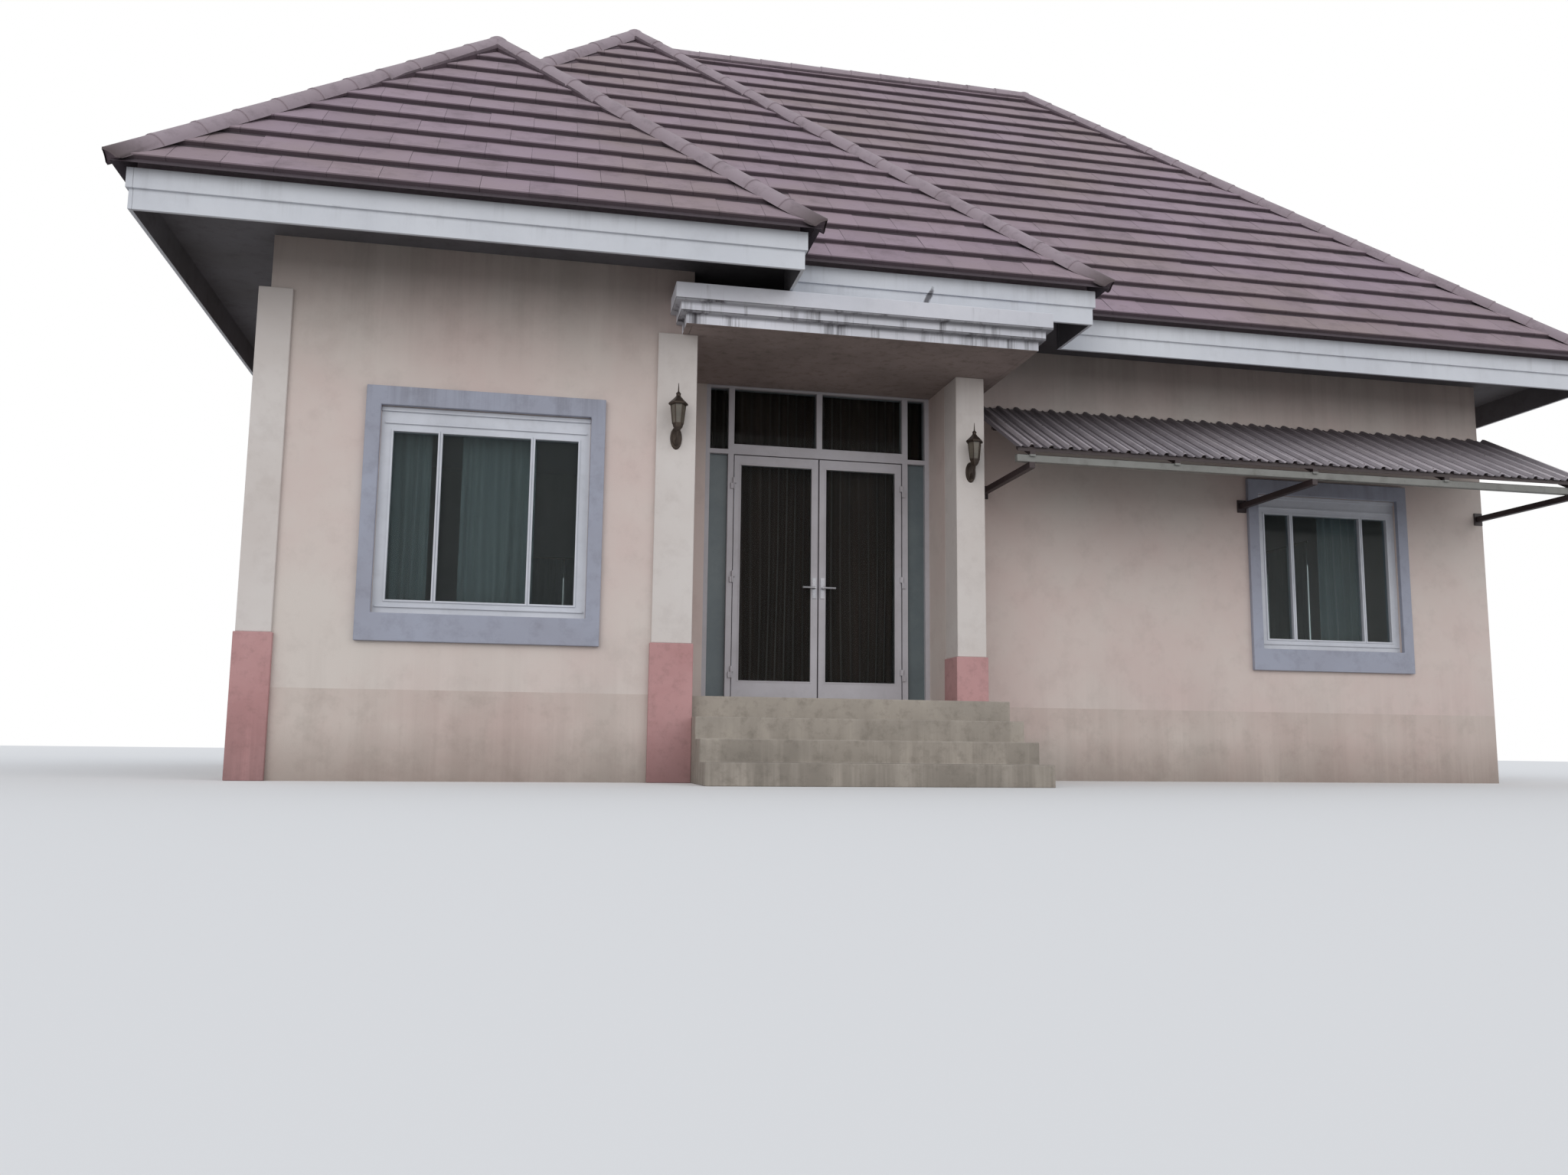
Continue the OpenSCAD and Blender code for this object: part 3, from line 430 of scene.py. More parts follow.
# How far the ridges lie in from the left eave, and how high over the eaves
wing_in, porch_in, main_in, main_in_right = 2.2, 3.53, 3.98, 8.41
wing_up, porch_up, main_up = 2.354, 3.777, 4.2586
pitch, wing_pitch = 1.07, wing_up / 2.34


def at(x, y, z):
    """A point given from the left front corner of the eaves on the ground."""
    return Vector((x, y, z)) - centre


# Each slope: its lower left corner, pitch, turn, and its outline in plan from that corner, along
# the eave and inwards. The three roofs share the long left slope.
slopes = {
    "wing_front": ((0, 0, 4.122), pitch, 0, [(-lip, -lip), (4.625, -lip), (wing_in, wing_in)]),
    "wing_right": ((wing_x, 0, 4.122), wing_pitch, 90,
                   [(-0.075, -lip), (0.52, -lip), (2.795, 2.34), (wing_in, 2.34)]),
    "porch_front": ((0, porch_y, 4.126), pitch, 0,
                    [(4.625, -lip), (porch_x + lip, -lip), (porch_in, porch_in), (wing_in, wing_in)]),
    "porch_right": ((porch_x, porch_y, 4.126), pitch, 90,
                    [(-lip, -lip), (0.535, -lip), (4.145, porch_in), (porch_in, porch_in)]),
    "main_front": ((0, main_y, eave_level), pitch, 0,
                   [(porch_x + lip, -lip), (main_x + lip, -lip), (main_in_right, main_in),
                    (main_in, main_in), (porch_in, porch_in)]),
    "main_right": ((main_x, main_y, eave_level), pitch, 90,
                   [(-lip, -lip), (7.96 + lip, -lip), (main_in, main_in)]),
    "main_back": ((main_x, back_y, eave_level), pitch, 180,
                  [(-lip, -lip), (main_x + lip, -lip), (main_in_right, main_in), (main_in, main_in)]),
    "long_left": ((0, back_y, eave_level), pitch, -90,
                  [(-lip, -lip), (back_y + lip, -lip), (6.97, wing_in), (6.375, wing_in),
                   (5.045, porch_in), (4.43, porch_in), (main_in, main_in)]),
}
for number, (name, (corner, rise, turn, outline)) in enumerate(slopes.items()):
    along = math.hypot(1, rise)
    base = loose("outline", [(u, h * along, 0) for u, h in outline], [tuple(range(len(outline)))])
    tilt = Matrix.Rotation(math.radians(turn), 3, "Z") @ Matrix.Rotation(math.atan(rise), 3, "X")
    place = at(*corner) - tilt.col[2] * (tile_nose + 0.002) - Vector((0, 0, roof_drop))
    grown(name + "_tiles", base, courses,
          {"Tile": tile, "Width": tile_width, "Course": tile_course,
           "Tilt": (math.atan(rise), 0, math.radians(turn)), "Place": place, "Seed": number})
bpy.data.objects.remove(tile)

# Sarking and battens under the tiles: the solid roof with its upper faces let down to the tiles'
# undersides. Its edge shows as a dark board under the eaves course; the dark colour is painted shade.
underlay_painted_shade = painted("underlay_painted_shade", (70, 61, 68), (60, 52, 58), (38, 34, 37), 2.0, 120.0, 0.4, 0.5)
tile_depth = 0.054
for name, node in (("wing_sarking", "wing_roof"), ("porch_sarking", "entry_roof"),
                   ("main_sarking", "main_roof")):
    shape = merged(node)
    shape.normal_update()
    upper = {v for f in shape.faces if f.normal.z > 0.1 for v in f.verts}
    under = {v for f in shape.faces if f.normal.z < -0.1 for v in f.verts}
    for v in upper | under:
        v.co.z -= roof_drop + (tile_depth if v in upper else 0)
    finish(name, shape, [underlay_painted_shade], node=node)

# Ridge and hip caps: half-round concrete caps of a taupe grey, each lapped over the one below,
# bedded in mortar that is dark with dirt and painted shade. A cast knob closes each place where caps
# meet.
cap_paint = painted("cap_paint", (150, 137, 145), (140, 127, 134), (92, 81, 87), 0.9, 180.0, 0.5, 0.5)
tree = cap_paint.node_tree
# Painted shade: the first cap at the low end of each hip is darker
lay_over(cap_paint, calc(tree, "MULTIPLY", stored(tree, "hip_end_shade"), 0.85), srgb(64, 54, 54))
cap_r, cap_length, cap_lap, cap_sink = 0.110, 0.36, 0.03, 0.10
arc = [math.pi * k / 14 for k in range(15)]
rings = [(0.0, cap_r - 0.010), (0.0, cap_r), (0.016, cap_r), (0.02, cap_r - 0.002),
         (cap_length + cap_lap, cap_r - 0.007)]
cap_shape = loose("cap_shape", [(x, r * math.cos(a), r * math.sin(a)) for x, r in rings for a in arc],
                  [face[::-1] for face in between_rows(len(rings), len(arc))])

# The tree sets a cap at every step along each line, with its back upwards
cap_run, given, end = group(
    "cap_run", {"Geometry": "Geometry", "Cap": "Object", "Length": cap_length},
    {"Geometry": "Geometry"})
line = first(cap_run, "GeometryNodeMeshToCurve", {0: given["Geometry"]})
steps = first(cap_run, "GeometryNodeResampleCurve", {"Curve": line, "Length": given["Length"]},
              mode="LENGTH")
aim = first(cap_run, "FunctionNodeAlignRotationToVector",
            {"Vector": first(cap_run, "GeometryNodeInputTangent")}, axis="X", pivot_axis="AUTO")
upright = first(cap_run, "FunctionNodeAlignRotationToVector",
                {"Rotation": aim, "Vector": (0.0, 0.0, 1.0)}, axis="Z", pivot_axis="X")
set_caps = repeated(cap_run, steps, given["Cap"], {"Rotation": upright})
end_with(cap_run, end, first(cap_run, "GeometryNodeRealizeInstances", {0: set_caps}), cap_paint)


def roof_point(x, y, level):
    """A point on a line of caps, with its level over the eaves."""
    return at(x, y, eave_level + level - cap_sink - roof_drop)


tops = [roof_point(*point) for point in (
    (wing_in, 2.2, wing_up), (wing_in, 2.795, wing_up), (porch_in, 4.125, porch_up),
    (porch_in, 4.74, porch_up), (main_in, 5.19, main_up), (main_in_right, 5.19, main_up))]
wing, wing_back, porch, porch_back, main_left, main_right = tops
feet = [roof_point(x, y, -pitch * lip) for x, y in (
    (-lip, -lip), (wing_x + lip, -lip), (porch_x + lip, porch_y - lip),
    (main_x + lip, main_y - lip), (main_x + lip, back_y + lip), (-lip, back_y + lip))]
hips = list(zip(feet, (wing, wing, porch, main_right, main_right, main_left)))
cap_lines = hips + [(wing, wing_back), (wing_back, porch), (porch, porch_back),
                    (porch_back, main_left), (main_left, main_right)]


def cap_axes(low, high):
    """Along a line of caps, sideways and square to it."""
    step = (high - low).normalized()
    side = step.cross(Vector((0, 0, 1))).normalized()
    return step, side, side.cross(step)


line_points = []
for low, high in cap_lines:
    step = cap_axes(low, high)[0]
    line_points += [low + step * 0.004, high - step * (cap_length + cap_lap)]
cap_seed = loose("cap_lines", line_points, [],
                 edges=[(2 * k, 2 * k + 1) for k in range(len(cap_lines))])
caps = grown("ridge_caps", cap_seed, cap_run, {"Cap": cap_shape, "Length": cap_length},
             "ridge_and_hip_caps", smooth=True)
bpy.data.objects.remove(cap_shape)

# The first cap of each hip is trimmed to the gutter lines and level with the tiles' undersides,
# and its colour is darkened there with painted shade
cap_over, cap_foot, first_cap = 0.036, 0.035, 0.16


def trim(point, low, high, back=0.0):
    """The point brought inside the gutter lines at the low end of a hip."""
    made = Vector(point)
    for k in (0, 1):
        out = math.copysign(1, low[k] - high[k])
        made[k] -= out * max(0, (made[k] - low[k]) * out - cap_over + back)
    made.z = max(made.z, low.z + cap_foot + back)
    return made


hip_end_shade = caps.data.attributes.new("hip_end_shade", "FLOAT", "POINT").data
for low, high in hips:
    for v in caps.data.vertices:
        if (v.co - low).length < first_cap:
            v.co = trim(v.co, low, high)
            hip_end_shade[v.index].value = 1.0


def skin(shape, rings, part=0):
    """A closed skin over rings of points, in one of the piece's materials."""
    rows = [[shape.verts.new(point) for point in ring] for ring in rings]
    around = len(rows[0])
    faces = [(a[k], a[(k + 1) % around], b[(k + 1) % around], b[k])
             for a, b in zip(rows, rows[1:]) for k in range(around)]
    for face in faces + [rows[0], rows[-1]]:
        shape.faces.new(face).material_index = part


# Mortar: a fillet along both sides of the caps, and a plug in the low end of each hip. Its dark
# colour is dirt and painted shade
mortar = painted("cap_mortar", (84, 70, 78), (70, 58, 66), (40, 34, 37), 3.0, 90.0, 0.5, 0.8)
slant, mortar_back = math.atan(pitch), 0.004
# The fillet's section: down the tiles from where the cap meets them, and out from the tiles
fillet = ((-0.03, 0.012), (0.003, 0.012), (0.018, 0.0), (0.018, -0.05), (-0.03, -0.05))
shape = bmesh.new()
for low, high in cap_lines:
    step, side, over = cap_axes(low, high)
    on_hip = (low, high) in hips
    fall = math.atan(math.sin(slant) / math.sqrt(2) / math.cos(slant) * over.z) if on_hip else slant
    deep = cap_sink * over.z
    edge = deep * math.sin(fall) + math.sqrt(cap_r ** 2 - (deep * math.cos(fall)) ** 2)
    for hand in (-1, 1):
        down = side * hand * math.cos(fall) - over * math.sin(fall)
        out = side * hand * math.sin(fall) + over * math.cos(fall)
        bed = [over * deep + down * (edge + a) + out * b for a, b in fillet]
        foot = [trim(low + q, low, high, mortar_back) if on_hip else low + q for q in bed]
        skin(shape, [foot, [high + q for q in bed]])
for low, high in hips:
    step, side, over = cap_axes(low, high)
    ring = [trim(low + (side * math.cos(a) + over * math.sin(a)) * (cap_r - mortar_back), low, high,
                 mortar_back) for a in arc]
    skin(shape, [[q + step * d for q in ring] for d in (0.008, 0.05)])
bmesh.ops.recalc_face_normals(shape, faces=shape.faces)
finish("cap_mortar", shape, [mortar])

# Knobs: a squat cast ball where caps meet
shape = bmesh.new()
for middle in tops:
    made = bmesh.ops.create_uvsphere(shape, u_segments=24, v_segments=12, radius=cap_r + 0.004,
                                     matrix=Matrix.Translation(middle))
    for v in made["verts"]:
        high = v.co.z - middle.z
        v.co.z = middle.z + high * (0.96 if high > 0 else 0.5)
finish("cap_knobs", shape, [cap_paint], smooth=True)

# Fascia: two boards one over the other, the lower set back, painted a pale bluish white.
# Dirty water has run down from the tile ends. Their backs are painted like the soffit.
fascia_paint = painted(
    "fascia_paint", (207, 211, 218), (194, 198, 206), (112, 110, 114), 0.5, 150.0, 0.1, 0.25,
    runs=[(3.99, 0.1, 2.2, 0.5, 0.3), (3.96, 0.2, 7.0, 0.2, 0.22), (3.83, 0.14, 6.0, 0.18, 0.2)])
# A slanted stain, longer than wide and ragged at its edge, marks the board over the porch
stained = fascia_paint.copy()
stained.name = "stained_fascia"
tree = stained.node_tree
where = on_piece(tree)
from_stain = first(tree, "ShaderNodeMapping", {"Vector": where, "Location": (0.555, 0, -3.775)})
leaning = first(tree, "ShaderNodeMapping",
                {"Vector": from_stain, "Rotation": (0, math.radians(-25), 0)})
reach = put(tree, "ShaderNodeVectorMath", {0: calc_xyz(tree, "MULTIPLY", leaning, (40.0, 0.0, 9.5))},
            operation="LENGTH").outputs["Value"]
ragged = calc(tree, "ADD", reach, noise(tree, where, 30.0, 4.0))
lay_over(stained, ranged(tree, ragged, 1.15, 1.6, 0.85, 0.0), srgb(62, 60, 66))
for name, paint in (("wing", fascia_paint), ("entry", stained), ("main", fascia_paint)):
    boards = eased(name + "_fascia_boards", name + "_fascia", 0.003, paint).data
    boards.materials.append(soffit_paint)
    for face in boards.polygons:
        x, y, z = face.center + face.normal * 0.1 + centre
        front = 0 if x < wing_x else porch_y if x < porch_x else main_y
        if abs(face.normal.z) < 0.5 and 0 < x < main_x and front < y < back_y:
            face.material_index = 1

# Porch canopy: a concrete slab cantilevered over the porch, with a stepped cast moulding.
# Black mould grows in its grooves and drips down its bands, and painted shade darkens the grooves too.
# Under the wing's eave the paint is lightened with painted light.
canopy_paint = painted(
    "canopy_paint", (208, 209, 216), (194, 196, 204), (46, 42, 46), 0.8, 170.0, 0.08, 0.4,
    runs=[(3.66, 0.3, 9.0, 0.10, 0.4), (3.556, 0.045, 1.2, 0.6, 0.8), (3.55, 0.3, 8.0, 0.19, 0.9),
          (3.48, 0.04, 1.2, 0.6, 0.9), (3.475, 0.5, 4.0, 0.17, 1.0), (3.475, 0.5, 9.0, 0.18, 0.9)])
tree = canopy_paint.node_tree
# Painted light: the left part, under the wing's eave, is made lighter
painted_light_left = ranged(tree, parts_of(tree, on_piece(tree))[0], -1.9, -1.1, 1.0, 0.0)
lay_over(canopy_paint, painted_light_left, (1.42, 1.42, 1.42, 1), "MULTIPLY")
canopy_under = painted(
    "canopy_under", (150, 136, 132), (131, 119, 115), (74, 66, 61), 1.6, 200.0, 0.5, 0.4)
paint_nodes(canopy_under, "porch_canopy")
bands = eased("canopy_bands", "canopy_moulding", 0.006, canopy_paint).data
bands.materials.append(canopy_under)
bands_foot = min(v.co.z for v in bands.vertices)
for face in bands.polygons:
    if face.normal.z < -0.5 and face.center.z < bands_foot + 0.01:
        face.material_index = 1

# Windows: white aluminium frames in three lights, in blue-grey surrounds cast round the openings.
# A bead holds each pane, and a weather bar runs along each frame's head.
surround_paint = painted(
    "surround_paint", (158, 163, 179), (150, 153, 167), (92, 92, 98), 1.0, 230.0, 0.25, 0.35,
    runs=[(2.83, 0.3, 9.0, 0.24, 0.3)])
eased("blue_surrounds", "window_surrounds", 0.005, surround_paint)
window_paint = painted(
    "window_paint", (200, 204, 213), (186, 190, 199), (112, 108, 106), 1.5, 90.0, 0.12, 0.08,
    roughness=0.42)
eased("white_window_frames", "window_frames", 0.003, window_paint)


def at_place(turn, x, y, z):
    """Turns and moves what is drawn at the foot of an opening in a wall."""
    return Matrix.Translation(at(x, y, z)) @ Matrix.Rotation(math.radians(turn), 4, "Z")


def window(turn, x, y, width=1.48, height=1.465, share=0.215, head=2.69):
    """A window's place, width, height and the share of it that each side light takes."""
    return at_place(turn, x, y, head - height), width, height, share


windows = [window(0, 2.315, 0.79, 1.5, 1.51, 0.25), window(0, 10.08, 2.0), window(90, 11.8, 5.31),
           window(180, 9.5, 8.41), window(180, 3.06, 8.41), window(-90, 0.76, 6.51),
           window(-90, 0.76, 2.91)]


def blocks(name, parts, material, width=0.002, body="house"):
    """Planks or bars as one piece with eased edges: (low corner, high corner) each, and a place."""
    shape = bmesh.new()
    for low, high, *place in parts:
        low, high = Vector(low), Vector(high)
        matrix = Matrix.Translation((low + high) / 2) @ Matrix.Diagonal((*(high - low), 1))
        bmesh.ops.create_cube(shape, size=1, matrix=place[0] @ matrix if place else matrix)
    made = finish(name, shape, [material], body)
    ease(made, width, 1)
    return made


def bead_ring(x0, x1, z0, z1, front, back, wide):
    """Four beads round a pane."""
    return [((x0 - wide, front, z0 - wide), (x0, back, z1 + wide)),
            ((x1, front, z0 - wide), (x1 + wide, back, z1 + wide)),
            ((x0, front, z0 - wide), (x1, back, z0)), ((x0, front, z1), (x1, back, z1 + wide))]


beads = []
rim, rim_below, rim_above, mullion = 0.088, 0.1, 0.18, 0.032
for place, w, h, share in windows:
    clear = w - 2 * rim
    side = clear / 2 - clear * share
    parts = []
    for x0, x1 in ((-clear / 2, -side - mullion / 2), (-side + mullion / 2, side - mullion / 2),
                   (side + mullion / 2, clear / 2)):
        parts += bead_ring(x0, x1, rim_below, h - rim_above, 0.012, 0.022, 0.014)
    parts += [((-w / 2 + 0.03, 0.008, h - 0.125), (w / 2 - 0.03, 0.022, h - 0.112)),
              ((-w / 2 + 0.002, 0.006, h - 0.035), (w / 2 - 0.002, 0.022, h - 0.004)),
              ((-w / 2 + 0.02, 0.008, 0.045), (w / 2 - 0.02, 0.022, 0.057))]
    beads += [(*part, place) for part in parts]
blocks("window_beads", beads, window_paint, 0.001)

# Glass: clear float glass, a little wavy, with a thin film of dust. The windows are dustier.
glass, tree, shader = new_material("window_glazing")
where = on_piece(tree)
film = noise(tree, where, 1.6, 5.0)
tree.links.new(ranged(tree, film, 0.45, 0.8, 0.03, 0.12), shader["Roughness"])
tree.links.new(mixed(tree, film, srgb(206, 214, 214), srgb(184, 194, 196)), shader["Base Color"])
emboss(tree, shader, noise(tree, where, 3.0, 1.0), 0.04, 0.01)
shader["Transmission Weight"].default_value = 1.0
shader["IOR"].default_value = 1.13
paint_nodes(glass, "left_door_glass", "right_door_glass")
dusty_glass = glass.copy()
dusty_glass.name = "dusty_glazing"
shader_of(dusty_glass)["Transmission Weight"].default_value = 0.97
paint_nodes(dusty_glass, "window_glass")

# Curtains: unlined cloth that hangs in folds from a rail inside each window, teal grey in the
# rooms and brown behind the front door. Each is wider than its rail and gathered.


def cloth(name, colour, dark):
    """Faded cloth with a fine weave and soft upright shades."""
    made, tree, shader = new_material(name)
    where = on_piece(tree)
    hang = noise(tree, calc_xyz(tree, "MULTIPLY", where, (1.0, 1.0, 0.02)), 14.0, 5.0)
    weave = noise(tree, where, 900.0, 2.0)
    tree.links.new(mixed(tree, hang, srgb(*colour), srgb(*dark)), shader["Base Color"])
    tree.links.new(ranged(tree, weave, 0.0, 1.0, 0.75, 0.95), shader["Roughness"])
    emboss(tree, shader, weave, 0.4, 0.001)
    shader["Sheen Weight"].default_value = 0.3
    return made


teal_cloth = cloth("teal_cloth", (120, 133, 135), (62, 76, 82))
brown_cloth = cloth("brown_cloth", (74, 50, 40), (30, 21, 17))
rail_metal = painted(
    "rail_metal", (150, 140, 128), (130, 120, 110), (70, 64, 60), 4.0, 200.0, 0.2, 0.1, roughness=0.35,
    metal=0.8)


def curtain(name, place, x0, x1, z0, z1, depth, folds, material):
    """A gathered curtain between x0 and x1 along a wall, with soft folds that open downwards."""
    across, down = max(24, folds * 10), 14
    points = []
    for t in (j / down for j in range(down + 1)):
        for s in (i / across for i in range(across + 1)):
            wave = math.sin(s * folds * math.tau + 0.5 * math.sin(7 * s + 2.1 * t))
            swell = depth * (0.62 + 0.38 * t) * (1 + 0.25 * math.sin(11 * s))
            drift = 0.012 * math.sin(5 * t + 9 * s) * math.sin(math.pi * s)
            points.append(place @ Vector((x0 + (x1 - x0) * s + drift * t, swell * wave,
                                          z1 + (z0 - z1) * t)))
    made = loose(name, points, [(a, d, c, b) for a, b, c, d in between_rows(down + 1, across + 1)])
    made.data.materials.append(material)
    made.data.shade_smooth()
    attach(made, "house")


floor_level = 0.64
door_place = at_place(0, 5.105, 2.0, floor_level)
rails = [((-w / 2 - 0.08, 0.19, h + 0.05), (w / 2 + 0.08, 0.21, h + 0.07), place)
         for place, w, h, share in windows]
rails.append(((-1.0, 0.21, 2.79), (1.0, 0.23, 2.81), door_place))
rail = blocks("curtain_rails", rails, rail_metal, 0.004)
drawn_back = [[(-0.80, -0.40), (-0.18, 0.36)], [(-0.78, -0.56), (0.03, 0.45)]]
drawn = [(-0.80, -0.004), (0.004, 0.80)]
for number, (place, w, h, share) in enumerate(windows):
    place = place @ Matrix.Translation((0, 0.2, 0))
    for side, (x0, x1) in zip("ab", drawn_back[number] if number < 2 else drawn):
        curtain(f"curtain_{number}_{side}", place, x0, x1, -0.16, h + 0.05, 0.022,
                round((x1 - x0) / 0.085), teal_cloth)
place = door_place @ Matrix.Translation((0, 0.22, 0))
for side, (x0, x1) in zip("ab", [(-0.98, -0.006), (0.006, 0.98)]):
    curtain(f"door_curtain_{side}", place, x0, x1, 0.02, 2.79, 0.024, 12, brown_cloth)

# Front door: a white aluminium frame with side lights and transoms, and two glazed leaves that
# open outwards on barrel hinges. The lower side lights are frosted.
frame_paint = painted(
    "frame_paint", (184, 182, 188), (170, 167, 172), (108, 102, 100), 1.5, 90.0, 0.12, 0.08,
    roughness=0.42)
eased("white_door_frame", "door_frame", 0.002, frame_paint)
handle_metal = painted(
    "handle_metal", (178, 178, 182), (160, 160, 166), (92, 88, 84), 6.0, 120.0, 0.2, 0.05,
    roughness=0.28, metal=0.9)
leaf_width, stile = 0.746, 0.06
for side in ("left", "right"):
    eased(f"white_{side}_leaf", side + "_door_leaf", 0.0025, frame_paint, side + "_leaf")
for side in ("left", "right"):
    eased(side + "_lever", side + "_door_handle", 0.0015, handle_metal, side + "_leaf")
for leaf, x0 in (("left_leaf", 4.353), ("right_leaf", 5.111)):
    ring = bead_ring(x0 + stile, x0 + leaf_width - stile, 0.828, 2.695, 2.024, 2.0285, 0.012)
    blocks(leaf + "_beads", [(at(*low), at(*high)) for low, high in ring], frame_paint,
           0.001, leaf)

frosted = painted(
    "frosted_glass", (112, 124, 128), (100, 112, 118), (76, 82, 84), 2.0, 500.0, 0.15, 0.15,
    roughness=0.22)
shader_of(frosted)["Transmission Weight"].default_value = 0.25
glass_front, glass_back = 2.062, 2.068
panes = {"frosted": (frosted, [(4.135, 4.295, 0.68, 2.788), (5.915, 6.075, 0.68, 2.788)]),
         "clear": (glass, [(4.135, 4.295, 2.828, 3.375), (5.915, 6.075, 2.828, 3.375),
                           (4.345, 5.08, 2.877, 3.375), (5.13, 5.865, 2.877, 3.375)])}
for kind, (material, outlines) in panes.items():
    made = blocks("door_" + kind + "_panes",
                  [(at(x0, glass_front, z0), at(x1, glass_back, z1)) for x0, x1, z0, z1 in outlines],
                  material, 0.0005)
    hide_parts("door_frame_glass")

# Rear door: a ledged timber door painted brown, with two rows of raised panels and a rim knob.
rear_wood = painted("rear_wood", (122, 90, 70), (104, 76, 60), (58, 44, 38), 2.2, 110.0, 0.3, 0.4)
eased("rear_door_boards", "rear_door", 0.003, rear_wood)
blocks("rear_door_panels",
       [(at(6.28 + x0, 8.37, floor_level + z0), at(6.28 + x1, 8.384, floor_level + z1))
        for z0, z1 in ((0.14, 0.9), (1.04, 1.88)) for x0, x1 in ((-0.34, -0.03), (0.03, 0.34))],
       rear_wood, 0.008)

# Wall lamps: lanterns of dark bronze with smoky panes and a spike, held on the columns by an
# arm and an oval plate.
lamp_bronze = painted(
    "lamp_bronze", (60, 52, 48), (76, 66, 58), (30, 26, 24), 9.0, 160.0, 0.3, 0.2, roughness=0.45,
    metal=0.7)
lamp_pane = painted(
    "lamp_pane", (104, 98, 88), (88, 84, 76), (50, 46, 42), 8.0, 90.0, 0.3, 0.05, roughness=0.2)
# Level and radius of each ring: roof with its spike, panes, and the cup under them
lamp_roof = [(2.80, 0.07), (2.806, 0.075), (2.815, 0.072), (2.85, 0.035), (2.87, 0.018),
             (2.88, 0.016), (2.888, 0.02), (2.896, 0.014), (2.905, 0.006), (2.97, 0.002)]
lamp_panes = [(2.64, 0.03), (2.655, 0.038), (2.80, 0.054), (2.80, 0.05)]
lamp_cup = [(2.60, 0.008), (2.61, 0.02), (2.63, 0.034), (2.655, 0.042), (2.662, 0.04)]
corners = [math.tau * k / 6 for k in range(6)]


def round_bar(shape, low, high, radius, sides, stretch=1.0):
    """A round bar from one point to another."""
    aim = (high - low).to_track_quat("Z", "Y").to_matrix().to_4x4()
    bmesh.ops.create_cone(shape, segments=sides, radius1=radius, radius2=radius, cap_ends=True,
                          depth=(high - low).length * stretch,
                          matrix=Matrix.Translation((low + high) / 2) @ aim)


def round_lamp(middle, radius, angle, level):
    """A point on a ring round a lamp's upright axis."""
    return middle + Vector((radius * math.cos(angle), radius * math.sin(angle), level))


shape = bmesh.new()
for x, wall in ((3.7, 0.76), (6.24, 1.3)):
    middle = at(x, wall - 0.1, 0)
    for part, profile in ((0, lamp_roof), (1, lamp_panes), (0, lamp_cup)):
        skin(shape, [[round_lamp(middle, r, a, z) for a in corners] for z, r in profile], part)
    for a in corners:
        round_bar(shape, round_lamp(middle, 0.04, a, 2.655), round_lamp(middle, 0.056, a, 2.80),
                  0.004, 6)
    arm = [middle + Vector((0, 0.094 * t, 2.60 - 0.075 * math.sin(math.pi * t) - 0.03 * t))
           for t in (k / 10 for k in range(11))]
    for low, high in zip(arm, arm[1:]):
        round_bar(shape, low, high, 0.009, 10, 1.15)
    for depth, wide, tall in ((0.094, 0.045, 0.088), (0.088, 0.032, 0.066)):
        bmesh.ops.create_cone(shape, segments=32, radius1=1, radius2=0.9, depth=1, cap_ends=True,
                              matrix=Matrix.Translation(middle + Vector((0, depth, 2.57)))
                              @ Matrix.Diagonal((wide, 0.012, tall, 1))
                              @ Matrix.Rotation(math.pi / 2, 4, "X"))
bmesh.ops.recalc_face_normals(shape, faces=shape.faces)
finish("lanterns", shape, [lamp_bronze, lamp_pane], node="wall_lamps")

# Awning: ribbed metal sheets screwed to steel purlins that lie across five rafters. A pale tube
# runs along the front, and arms of dark red steel tie it back to plates on the wall.
sheet_metal = painted(
    "sheet_metal", (208, 200, 206), (184, 178, 185), (104, 96, 98), 1.2, 140.0, 0.35, 0.15,
    roughness=0.5, metal=0.2)
# Painted shade: the sheet darkens towards the wall at its back, in the pans and on one side of each rib
tree = sheet_metal.node_tree
rear_shade = ranged(tree, parts_of(tree, on_piece(tree))[1], -3.6, -2.7, 0.2, 0.92)
lay_over(sheet_metal, calc(tree, "MAXIMUM", stored(tree, "pan"), rear_shade), srgb(66, 60, 66))

sheet_low, sheet_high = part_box("awning_sheet")
sheet_t, rib_pitch, rib_h, minor_h, crest = 0.03, 0.17, 0.024, 0.009, 0.134
sheet_size = sheet_high - sheet_low
sheet_drop = sheet_size.z - sheet_t
fall = math.atan(sheet_drop / sheet_size.y)
length = math.hypot(sheet_size.y, sheet_drop)
rib = [(0.0, 0.0), (0.043, 0.0), (0.051, minor_h), (0.059, minor_h), (0.067, 0.0), (0.108, 0.0),
       (0.122, rib_h), (0.146, rib_h), (0.160, 0.0), (rib_pitch, 0.0)]
# How much painted shade each face of a rib takes
rib_side_shade = [0.9, 0.2, 0.05, 0.8, 0.9, 0.4, 0.0, 0.7, 0.9]
rib_shape = loose("rib_shape", [(x, length * j / 2, z) for j in range(3) for x, z in rib],
                  between_rows(3, len(rib)), {"pan": rib_side_shade * 2})

# The tree lays one rib beside the other, joins them and tilts the sheet into place
ribbing, given, end = group(
    "ribbed_sheet",
    {"Geometry": "Geometry", "Rib": "Object", "Pitch": rib_pitch, "Stretch": "Vector",
     "Count": 1, "Tilt": "Vector", "Place": "Vector"},
    {"Geometry": "Geometry"})
pitch_step = first(ribbing, "ShaderNodeCombineXYZ", {0: given["Pitch"]})
starts = first(ribbing, "GeometryNodeMeshLine", {"Count": given["Count"], "Offset": pitch_step})
ribs = repeated(ribbing, starts, given["Rib"], {"Scale": given["Stretch"]})
real = first(ribbing, "GeometryNodeRealizeInstances", {0: ribs})
joined = first(ribbing, "GeometryNodeMergeByDistance", {0: real})
tilted = first(ribbing, "GeometryNodeTransform",
               {"Geometry": joined, "Translation": given["Place"], "Rotation": given["Tilt"]})
